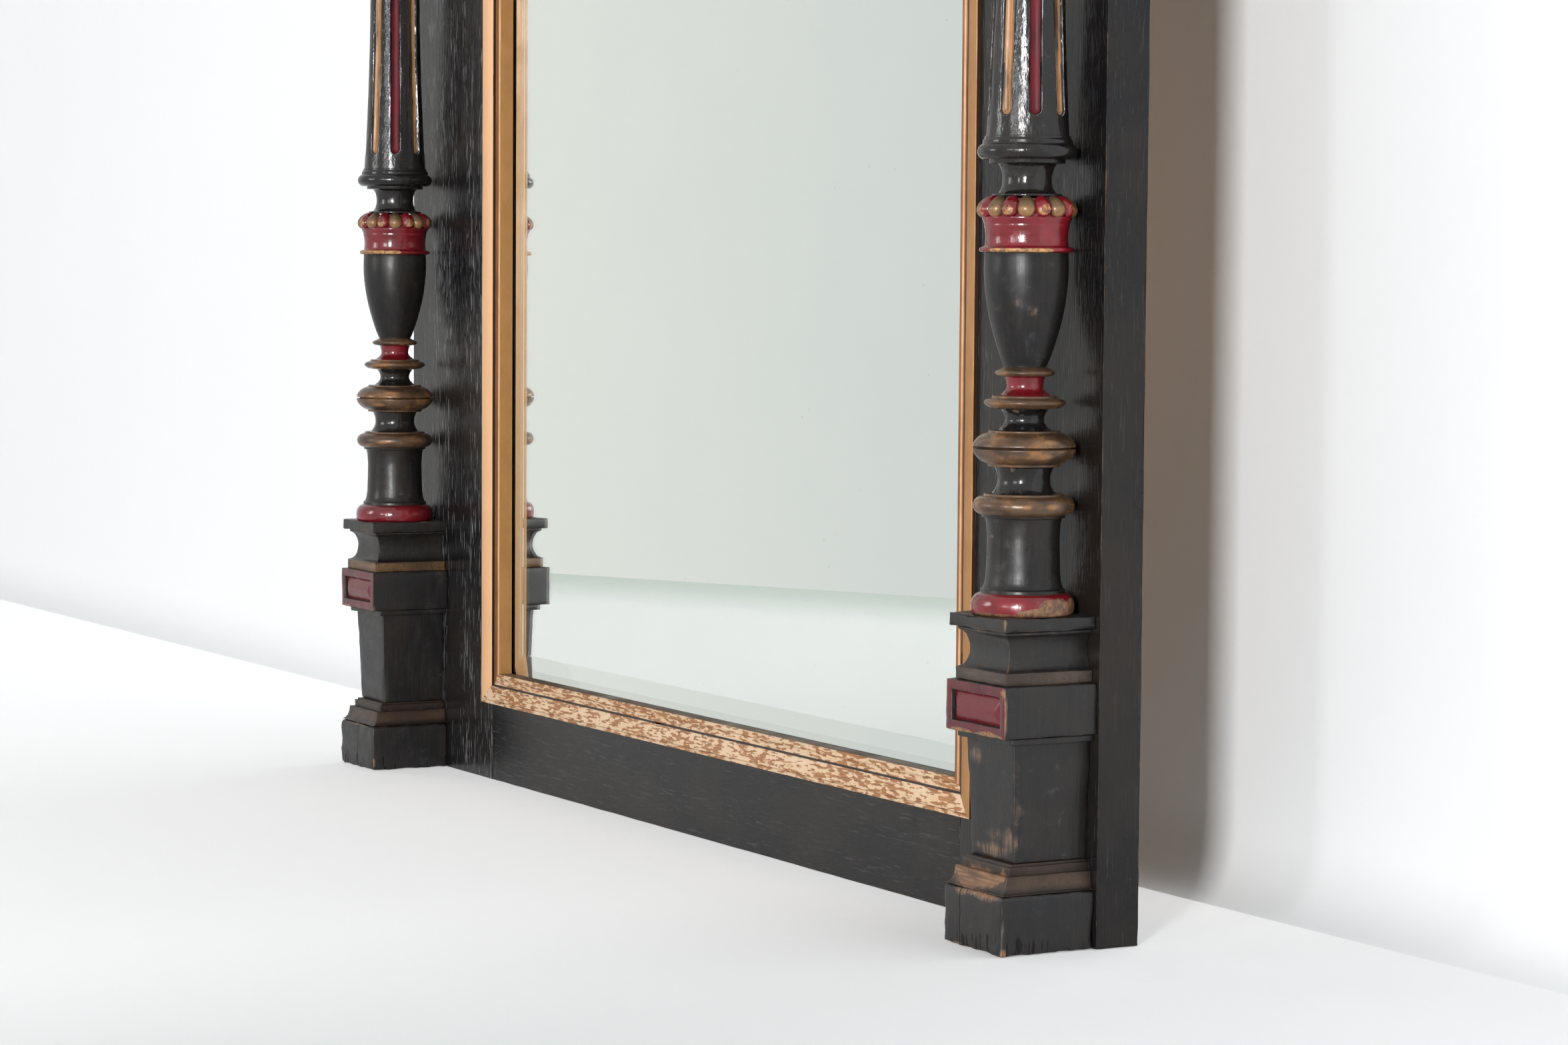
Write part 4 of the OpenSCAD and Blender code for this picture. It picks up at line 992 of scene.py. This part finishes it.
def shaft(side):
    """The fluted shaft: a ring of points at each height, sunk where a flute runs."""
    node = "column_shaft_" + side
    radius, z0, z1 = radius_reader(node)
    axis = column_axis(side)
    angles, sector = flute_angles()
    half_flute = math.sqrt(FLUTE_R ** 2 - FLUTE_AXIS_OUT ** 2)
    rim_w, end_inset = 1.1 * MM, 0.02 * MM
    bm = bmesh.new()
    rows, inside, rim = [], [], []
    for z in shaft_heights(z0, z1):
        r = radius(min(max(z, z0 + end_inset), z1 - end_inset))
        past = max(z0 + FLUTE_END - z, z - (z1 - FLUTE_END), 0)
        ring = []
        for a in angles:
            sideways = r * math.radians((a % sector) - sector / 2)
            from_middle = math.hypot(sideways, past)
            sink = math.sqrt(max(FLUTE_R ** 2 - from_middle ** 2, 0)) - FLUTE_AXIS_OUT
            turn_by = math.radians(a - 90)
            wave = 0.10 * MM * noise.noise(Vector((a * 0.05, z * 30, 2.0 + axis.x)))
            rr = r - max(0.0, sink) + min(wave, 0)
            ring.append(bm.verts.new(axis + Vector((rr * math.cos(turn_by), rr * math.sin(turn_by), z))))
            inside.append(PAINT_HALF_W - from_middle)
            # Nearness to the flute's rim: wear on the gilt flutes, and a painted highlight on the black
            # ridges.
            rim.append(max(0.0, 1 - abs(from_middle - half_flute) / rim_w))
        rows.append(ring)
    ends = [[bm.verts.new(axis + Vector((0, 0, z)))] for z in (z0, z1)]
    inside += [-1.0, -1.0]
    rim += [0.0, 0.0]
    skin(bm, [ends[0]] + rows + [ends[1]])
    bm.verts.index_update()

    def paint(face):
        """Gilt and red flutes by turns, black between them."""
        if len(face.verts) < 4 or sum(inside[v.index] for v in face.verts) <= 0:
            return 0
        mid = face.calc_center_median() - axis
        return 1 + int((math.degrees(math.atan2(mid.y, mid.x)) + 90) % 360 / sector) % 2
    index = [paint(face) for face in bm.faces]
    publish_worn(bm, node, "ebonised_wood", [RIPPLED, GILT_FLUTE, RED_FLUTE], index, rim, 0.0, sharp=40)


# ---- Plinths, frame, slips, glass, head

def patch(box, from_right, z, wide, high, deep=4.0, strength=1.0):
    """A wear patch on a block's front face, in mm: how far in from its right-hand edge, and its height."""
    centre = (box[1][0] - from_right * MM, box[0][1] + 0.3 * MM, z * MM)
    return (centre, (wide * MM, deep * MM, high * MM), strength)


# The patches on each plinth: in from the right, height, half width, half height, depth, strength
PLINTH_WEAR = {
    "left": {
        "base_block": [(0, 7, 1.2, 5, 3, 0.9), (35, 37, 30, 1.4, 4, 0.8)],
        "base_moulding": [(44, 52, 16, 3.4, 12, 0.7)],
        "pedestal": [(1, 100, 1.2, 18, 8, 0.7)],
        "panel_block": [(0, 139, 2.4, 1.6, 2), (60, 138, 14, 1.6, 2)]},
    "right": {
        "base_block": [(52, 0, 16, 1.8), (0, 1, 2, 4), (24, 37, 26, 3.4), (48, 36, 12, 2.4)],
        "base_moulding": [(40, 48, 34, 11, 12), (12, 50, 9, 7, 12, 0.9)],
        "pedestal": [(3, 112, 4.5, 14, 16, 0.62), (4, 90, 6, 16, 16, 0.66), (12, 71, 14, 12, 16, 0.66),
                     (32, 63, 28, 6, 16, 0.8), (30, 73, 18, 8, 16, 0.55), (50, 121, 10, 9, 16, 0.62),
                     (47, 127, 7, 4, 16, 0.6)],
        "panel_block": [(20, 138, 20, 2.6, 1.5), (52, 138, 16, 2.4, 1.5), (2.5, 166, 4, 3.5, 1.5),
                        (0, 152, 0.9, 18, 1.5, 0.85)],
        "cove_moulding": [(9, 197, 5, 3, 8, 0.8), (3, 184, 1.6, 8, 9, 0.7)],
        "cap_plate": [(0, 209, 1.6, 5, 1.5, 0.9)]}}


def panel_pad(side):
    """The raised panel: a low hipped pad with a rounded ridge."""
    node = "panel_field_" + side
    low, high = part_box(node)
    hip, across, up = 7 * MM, 28, 16
    deep = high[1] - low[1]
    bm = bmesh.new()
    rows = []
    for i in range(up + 1):
        z = low[2] + (high[2] - low[2]) * i / up
        row = []
        for k in range(across + 1):
            x = low[0] + (high[0] - low[0]) * k / across
            side_t = min(z - low[2], high[2] - z) / ((high[2] - low[2]) / 2)
            end_t = min(x - low[0], high[0] - x) / hip
            t = max(0.0, min(side_t, end_t, 1.0))
            lift = deep * (0.12 + 0.88 * (1 - (1 - t) ** 1.35)) if t > 0 else deep * 0.06
            dent = 0.10 * MM * (0.5 + 0.5 * noise.noise(Vector((x * 90, z * 130, 3.0))))
            row.append(bm.verts.new((x, high[1] - lift + dent * min(t * 3, 1), z)))
        rows.append(row)
    back = [bm.verts.new((x, high[1], z)) for x, z in (
        (low[0], low[2]), (high[0], low[2]), (high[0], high[2]), (low[0], high[2]))]
    skin(bm, rows, closed=False)
    left_edge, right_edge = [row[0] for row in rows], [row[-1] for row in rows]
    for corners in ([back[0], back[1]] + rows[0][::-1], [back[2], back[3]] + rows[-1],
                    [back[1], back[2]] + right_edge[::-1], [back[3], back[0]] + left_edge, back[::-1]):
        bm.faces.new(corners)
    bmesh.ops.recalc_face_normals(bm, faces=bm.faces)
    heights = points_of(bm)[:, 2]
    in_from_edge = np.minimum(heights - low[2], high[2] - heights)
    # The pad darkens along its top and bottom edges, next to the recess: dirt and painted shade.
    crease = np.clip(1 - in_from_edge / (2.5 * MM), 0, 1)
    publish_worn(bm, node, "oxblood_lacquer", [RED_FIELD], None, 0.0, crease, sharp=35)


def on_front(centre, normal):
    """Material 1 on the faces that look forward, 0 on the others."""
    return int(normal.y < -0.5)


def in_band(centre, normal):
    """Material 1 on the gilt band under the cove."""
    return int(centre.z < GILT_BAND_TOP)


def plinth(side):
    """The blocks and mouldings of one plinth, each with its rounding and its wear in mm."""
    band = GILT_BAND if side == "left" else DULL_BAND
    for part, slot, looks, pick, bevel, wear in (
            ("base_block", "ebonised_wood", [BASE_SATIN[side]], None, 1.1, 1.8),
            ("base_moulding", "bronzed_wood", [MOULD_BROWN], None, 0.6, 0.6),
            ("pedestal", "ebonised_wood", [SATIN], None, 0.8, 0.7),
            ("panel_block", "ebonised_wood", [SATIN, RED_PANEL], on_front, 0.8, 0.7),
            ("cove_moulding", "ebonised_wood", [SATIN, band], in_band, 0.5, 0.5),
            ("cap_plate", "ebonised_wood", [SATIN], None, 0.8, 0.9)):
        node = f"{part}_{side}"
        patches = [patch(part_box(node), *row) for row in PLINTH_WEAR[side].get(part, ())]
        dress(node, slot, looks, pick, bevel * MM, (4 * MM,) * 3, wear=wear * MM, patches=patches)
        if part == "panel_block":
            panel_pad(side)


def frame_boards():
    """Stiles and rails of open-grained oak; the left stile's front has a small bruise."""
    long_z = (45 * MM, 16 * MM, 18 * MM)
    long_x = (18 * MM, 16 * MM, 45 * MM)
    edges = (1.6 * MM, 4 * MM, 8 * MM, 12 * MM)
    bruise = [((-0.43, 0.0446, 0.376), (5 * MM, 3 * MM, 1.3 * MM), 0.9)]
    for side, _ in SIDES:
        dress("stile_" + side, "ebonised_oak", [OAK_SIDE, OAK_FRONT[side]], on_front, bevel=1.1 * MM,
              spacing=long_z, near=edges, wear=0.7 * MM, seed=4, patches=bruise)
    for node in ("bottom_rail", "top_rail"):
        dress(node, "ebonised_oak", [OAK_X], bevel=0.8 * MM, spacing=long_x, near=edges, wear=0.6 * MM,
              seed=6)


# The slip's section in mm, from its outer edge: (distance in, depth, material, wear, dirt and painted
# shade). The depth is from the frame's front, and the material is that of the strip up to the next point.
SIDE_EDGE, FACE, HOLLOW, LINE, INNER, SLOT = range(6)
EDGE_POINTS = [(0.0, 0.0, SIDE_EDGE, 0, 0.6), (0.0, -2.6, FACE, 0.9, 0), (0.4, -3.0, FACE, 0.8, 0)]
LIP_POINTS = [(2.4, -3.0, FACE, 0, 0), (2.8, -2.5, HOLLOW, 0, 0.8), (3.2, -2.4, FACE, 0, 0.8)]
SLIP_POINTS = [
    (3.4, -2.95, FACE, 0, 0), (6.0, -2.7, FACE, 0, 0), (9.0, -2.1, FACE, 0, 0),
    (12.0, -1.2, FACE, 0, 0), (14.4, -0.2, FACE, 0, 0), (16.0, 1.0, FACE, 0.6, 0),
    (16.1, 1.7, HOLLOW, 0, 0.45), (16.5, 1.9, HOLLOW, 0, 0), (20.1, 1.9, HOLLOW, 0, 0),
    (20.4, 1.7, LINE, 0, 0.2), (20.9, 1.3, LINE, 0, 0), (21.6, 0.9, HOLLOW, 0, 0),
    (24.2, 0.9, LINE, 0, 0), (25.2, 1.8, INNER, 0, 0), (25.5, 3.4, INNER, 0, 0),
    (25.5, 8.0, INNER, 0, 0), (25.5, 13.2, SLOT, 0, 0.4), (23.6, 13.4, SLOT, 0, 0.6),
    (23.6, 14.3, SLOT, 0, 0.6), (16.1, 14.4, SLOT, 0, 1), (16.1, 0.0, SLOT, 0, 1)]
SIDE_SECTION = EDGE_POINTS + SLIP_POINTS
BOTTOM_SECTION = EDGE_POINTS + LIP_POINTS + SLIP_POINTS


def slip(node, section, materials, across, sign, outer, ends):
    """One mitred side of the slip: across is the axis over its width, and sign leads inwards."""
    along_axis = 2 - across
    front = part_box("stile_left")[0][1]
    count = round((ends[1] - ends[0]) / (14 * MM))
    bm = bmesh.new()
    rows = []
    for i in range(count + 1):
        row = []
        for inward, depth, *_ in section:
            at = [0.0, 0.0, 0.0]
            length = ends[1] - ends[0] - 2 * inward * MM
            at[along_axis] = ends[0] + inward * MM + length * i / count
            at[across] = outer + sign * inward * MM
            wave = 0.16 * MM * noise.noise(Vector((at[0] * 40, inward, at[2] * 40)))
            at[1] = front + depth * MM + (wave if 0 < i < count and depth < 8 and depth else 0)
            row.append(bm.verts.new(at))
        rows.append(row)
    skin(bm, rows)
    for row in (rows[0], rows[-1]):
        bm.faces.new(row)
    _, _, strips, wear, dirt_and_shade = zip(*section)
    index = list(strips) * count + [SLOT, SLOT]
    bmesh.ops.recalc_face_normals(bm, faces=bm.faces)
    publish_worn(bm, node, "gilt_wood", materials, index, wear * len(rows), dirt_and_shade * len(rows), sharp=30)


def slips():
    """The gilt slip round the glass; the bottom one flakes, and its inner face is dirty."""
    low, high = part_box("slip_left")
    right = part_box("slip_right")[1][0]
    tall, wide = (low[2], high[2]), (low[0], right)
    for name, section, looks, across, sign, outer, ends in (
            ("left", SIDE_SECTION, (GILT_LEFT, GILT_HOLLOW_SHADE, GILT_LINE_HIGHLIGHT, GILT_INNER_Z), 0, 1, low[0], tall),
            ("right", SIDE_SECTION, (GILT_RIGHT_SHADED, GILT_HOLLOW_SHADE, GILT_LINE_HIGHLIGHT, GILT_INNER_Z), 0, -1, right, tall),
            ("bottom", BOTTOM_SECTION, (GILT_FLAKED,) * 3 + (GILT_DIRTY,), 2, 1, low[2], wide),
            ("top", SIDE_SECTION, (GILT_X,) * 3 + (GILT_INNER_X,), 2, -1, high[2], wide)):
        # The outer side and the slot take the painted shade brown.
        slip("slip_" + name, section, (SHADE_BROWN, *looks, SHADE_BROWN), across, sign, outer, ends)


def box_mesh(bm, low, high):
    """A closed box between two corners."""
    corners = [Vector((x, y, z)) for z in (low[2], high[2]) for y in (low[1], high[1])
               for x in (low[0], high[0])]
    v = [bm.verts.new(c) for c in corners]
    for f in ((0, 2, 3, 1), (4, 5, 7, 6), (0, 1, 5, 4), (2, 6, 7, 3), (0, 4, 6, 2), (1, 3, 7, 5)):
        bm.faces.new([v[i] for i in f])


def mirror():
    """The bevelled glass, and the silver on its back as a thin sheet."""
    low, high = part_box("mirror_glass")
    silver_t, air, edge, thinner = 0.15 * MM, 0.02 * MM, 1.5 * MM, 1.25 * MM
    bm = cad_copy("mirror_glass")
    for v in bm.verts:
        if v.co.y > high[1] - ON_PLANE:
            v.co.y = high[1] - silver_t - air
        else:
            v.co.y += thinner
    publish(bm, "mirror_glass_plate", "mirror_glass", "mirror_glass", [GLASS])
    bm = bmesh.new()
    box_mesh(bm, (low[0] + edge, high[1] - silver_t, low[2] + edge),
             (high[0] - edge, high[1], high[2] - edge))
    bmesh.ops.bevel(bm, geom=bm.edges[:], offset=silver_t * 0.3, segments=1, affect="EDGES")
    publish(bm, "mirror_silvering", "mirror_glass", "mirror_glass", [SILVER])


def head():
    """Everything above the columns."""
    fine, wide = (6 * MM,) * 3, (25 * MM, 12 * MM, 12 * MM)
    for side, _ in SIDES:
        dress("abacus_" + side, "ebonised_wood", [SATIN], spacing=fine)
        dress("upper_block_" + side, "ebonised_wood", [SATIN], spacing=fine)
        dress("upper_field_" + side, "oxblood_lacquer", [RED_PANEL], None, 0.4 * MM, fine, wear=0.3 * MM)
    for node, slot, look in (("architrave", "ebonised_wood", SATIN), ("frieze_panel", "ebonised_oak", OAK_X),
                             ("frieze_field", "oxblood_lacquer", RED_PANEL),
                             ("soffit_board", "ebonised_wood", SATIN),
                             ("bed_moulding", "gilt_wood", GILT_BAND),
                             ("corona", "ebonised_oak", OAK_X), ("crown_moulding", "ebonised_wood", SATIN),
                             ("top_board", "ebonised_oak", OAK_X)):
        dress(node, slot, [look], None, 0.7 * MM, wide, near=(3 * MM, 8 * MM))


def carried_over():
    """Gives each CAD node that stays its own material."""
    for name, obj in frame["nodes"].items():
        if obj.hide_render:
            continue
        if name.startswith("back_board"):
            look = BOARD_PINE[int(name[-1]) - 1]
        elif "shim" in name:
            look = PINE
        elif "nail" in name or "screw" in name or "wall_plate" in name:
            look = BRASS
        else:
            look = SATIN
        for slot in obj.material_slots:
            slot.material = look


# ---- Studio

FLOOR_Z, FLOOR_HALF = -0.4 * MM, 14.0
WALL_Y, WALL_H, WALL_HALF, COVE_R = 0.262, 4.0, 8.0, 0.05
WORLD_LEVEL = 0.17         # how much light the surroundings throw on the object
MIRRORED_GLOW = 0.72       # the paint's glow in reflections, as a share of its glow to the camera


def is_any(tree, *names):
    """1 for the named kinds of ray."""
    total, *others = (tree.nodes.new("ShaderNodeLightPath").outputs[name] for name in names)
    for ray in others:
        either = tree.nodes.new("ShaderNodeMath")
        either.operation = "MAXIMUM"
        tree.links.new(total, either.inputs[0])
        tree.links.new(ray, either.inputs[1])
        total = either.outputs[0]
    return total


def studio_paint(name, colour, near_x, near_glow, far_x, far_glow):
    """Matt paint that glows a little to the camera and in reflections, less and less towards +X."""
    s = Shader(name)
    mottle = s.step(s.noise(2.5, detail=4), 0.3, 0.7)
    tone = s.mix(mottle, colour, tuple(c * 0.985 for c in colour))
    s.finish(tone, 0.9, s.bump(s.noise(45), 0.3 * MM), specular=0.05)
    mirrored = s.times(is_any(s.tree, "Is Glossy Ray", "Is Transmission Ray"), MIRRORED_GLOW)
    seen = s.most(is_any(s.tree, "Is Camera Ray"), mirrored)
    glow = s.step(s.axis(0), near_x, far_x, near_glow, far_glow)
    s.put(s.bsdf.inputs["Emission Color"], (1, 1, 1, 1))
    s.put(s.bsdf.inputs["Emission Strength"], s.times(seen, glow))
    return s


def veil(s, surface, level):
    """Makes the material clear where the level is 0, and the surface where it is 1."""
    clear = s.node("BsdfTransparent", {})
    mixed = s.node("MixShader", {0: level, 1: clear, 2: surface})
    s.put(s.tree.nodes["Material Output"].inputs[0], mixed)
    return s.mat


def one_sided(s):
    """Lets light and sight through a wall from behind."""
    backfacing = s.node("NewGeometry", {}, "Backfacing")
    unseen = s.most(backfacing, is_any(s.tree, "Is Shadow Ray"))
    return veil(s, s.bsdf.outputs[0], s.math("SUBTRACT", 1.0, unseen))


def sheet(name, rows, material):
    """A staged surface from rows of points."""
    bm = bmesh.new()
    skin(bm, [[bm.verts.new(p) for p in row] for row in rows], closed=False)
    obj = mesh_object(bm, name, [material])
    obj.data.shade_smooth()
    return obj


def studio():
    """A pale floor, and a wall that rises from it in a small cove."""
    corners = [[(x, y, FLOOR_Z) for x in (-FLOOR_HALF, FLOOR_HALF)] for y in (-FLOOR_HALF, FLOOR_HALF)]
    sheet("floor", corners, studio_paint("floor_paint", (0.80, 0.805, 0.81), 0.2, 0.40, 0.75, 0.13).mat)
    curve = [(WALL_Y - COVE_R, FLOOR_Z + 0.2 * MM)]
    curve += [(WALL_Y - COVE_R + COVE_R * math.sin(a), COVE_R - COVE_R * math.cos(a))
              for a in (math.pi / 16 * i for i in range(1, 9))]
    curve += [(WALL_Y, WALL_H)]
    rows = [[(-WALL_HALF, y, z), (WALL_HALF, y, z)] for y, z in curve]
    sheet("wall", rows, one_sided(studio_paint("wall_paint", (0.87, 0.885, 0.895), -0.5, 0.14, 0.5, 0.0)))
    far_side()


FAR_LEFT, FAR_RIGHT = (-3.4, -0.39), (-1.35, -1.415)      # the far wall's ends
FAR_WALL_H, FAR_STRIP_W, FAR_STRIPS = 3.0, 0.42, 12
# The far wall's pale and shaded glow, and the painted shade at its foot.
FAR_PALE, FAR_SHADED, FAR_FOOT_SHADE = (0.82, 0.825, 0.795), (0.69, 0.705, 0.70), (0.60, 0.655, 0.61)


def far_side():
    """The far side of the studio, which only the mirror shows: a glowing wall, painted darker towards +X as
    painted shade, and a strip of painted shade on the floor at its foot.
    """
    paint = Shader("far_wall")
    # Painted shade: the far wall's glow is darker towards +X.
    colour = paint.mix(paint.step(paint.axis(0), -2.5, -1.6), FAR_PALE, FAR_SHADED)
    paint.put(paint.tree.nodes["Material Output"].inputs[0], paint.node("Emission", {0: colour}))
    corners = [[(*end, z) for end in (FAR_LEFT, FAR_RIGHT)] for z in (0.0, FAR_WALL_H)]
    wall = sheet("far_wall", corners, paint.mat)
    # Painted shade: a dark glowing strip along the far wall's foot, fading out away from it.
    dim = Shader("far_floor_shade")
    fade = dim.step(dim.attr("fade"), 0.0, 1.0, 0.0, 0.92)
    material = veil(dim, dim.node("Emission", {0: (*FAR_FOOT_SHADE, 1.0)}), fade)
    across = Vector((FAR_LEFT[1] - FAR_RIGHT[1], FAR_RIGHT[0] - FAR_LEFT[0])).normalized() * FAR_STRIP_W
    shares = [k / FAR_STRIPS for k in range(FAR_STRIPS + 1)]
    rows = [[(x + across.x * k, y + across.y * k, 1 * MM) for x, y in (FAR_LEFT, FAR_RIGHT)] for k in shares]
    floor = sheet("far_floor_shade", rows, material)
    write_attribute(floor.data, "fade", [1 - k for k in shares for _ in range(2)])
    for obj in (wall, floor):
        obj.visible_camera = obj.visible_diffuse = obj.visible_shadow = False


AIM_SHARE = 0.6            # a lamp points at this share of its own height, over the origin


def lamp(name, x, y, height, width, tall, level):
    """A standing light: level is how brightly it lights a white card at the frame that faces it."""
    data = bpy.data.lights.new(name, "AREA")
    data.shape = "RECTANGLE"
    data.size, data.size_y = width, tall
    data.energy = level * math.pi ** 2 * (x * x + y * y)
    obj = add_object(name, data)
    obj.location = (x, y, height)
    aim = Vector((0, 0, height * AIM_SHARE)) - obj.location
    obj.rotation_mode = "QUATERNION"
    obj.rotation_quaternion = aim.to_track_quat("-Z", "Y")
    obj.visible_camera = False


def lights():
    """Windows in front to the right and left, and two lamps behind the wall."""
    lamp("window_right", 4.1, -3.87, 1.0, 0.62, 1.5, 0.84)
    lamp("window_left", -1.17, -2.89, 0.9, 0.55, 0.8, 0.14)
    lamp("window_far_left", -4.7, -2.1, 1.5, 2.2, 2.2, 0.15)
    lamp("window_middle", 1.75, -4.04, 1.0, 0.45, 0.9, 0.11)
    for side, sign in SIDES:
        lamp("behind_" + side, sign * 1.05, 3.45, 1.6, 2.0, 2.0, 0.20)


def world():
    """A weak even light, which shows as white to the camera and in reflections."""
    surround = bpy.data.worlds.new("studio")
    surround.use_nodes = True
    tree = surround.node_tree
    level = tree.nodes.new("ShaderNodeMapRange")
    level.inputs["To Min"].default_value = WORLD_LEVEL
    level.inputs["To Max"].default_value = 1.0
    back = tree.nodes["Background"]
    back.inputs[0].default_value = (1, 1, 1, 1)
    seen = is_any(tree, "Is Camera Ray", "Is Glossy Ray", "Is Transmission Ray")
    tree.links.new(seen, level.inputs["Value"])
    tree.links.new(level.outputs["Result"], back.inputs[1])
    bpy.context.scene.world = surround


def camera():
    """The photograph's view: turned by yaw, pitch and roll from a level view along +Y.

    The matrices are those of the usual pinhole model, whose Y points down and whose Z points ahead."""
    level = Matrix(((1, 0, 0), (0, 0, -1), (0, 1, 0)))
    yaw, pitch, roll = (Matrix.Rotation(angle, 3, axis) for angle, axis in (
        (CAMERA_YAW, "Y"), (CAMERA_PITCH, "X"), (CAMERA_ROLL, "Z")))
    flip = Matrix(((1, 0, 0), (0, -1, 0), (0, 0, -1)))
    look = flip @ roll @ pitch @ yaw @ level
    data = bpy.data.cameras.new("camera")
    data.sensor_width = SENSOR_W
    data.lens = FOCAL_PX / IMAGE_W * SENSOR_W
    data.clip_end = 60
    obj = add_object("camera", data)
    obj.matrix_world = Matrix.Translation(CAMERA_AT) @ look.transposed().to_4x4()
    bpy.context.scene.camera = obj


# ---- The scene

camera()
studio()
lights()
world()
for side, _ in SIDES:
    foot(side)
    urn(side)
    bead_ring(side)
    collar(side)
    shaft(side)
    capital(side)
    plinth(side)
frame_boards()
slips()
mirror()
head()
carried_over()
bpy.context.scene.view_settings.view_transform = "Standard"
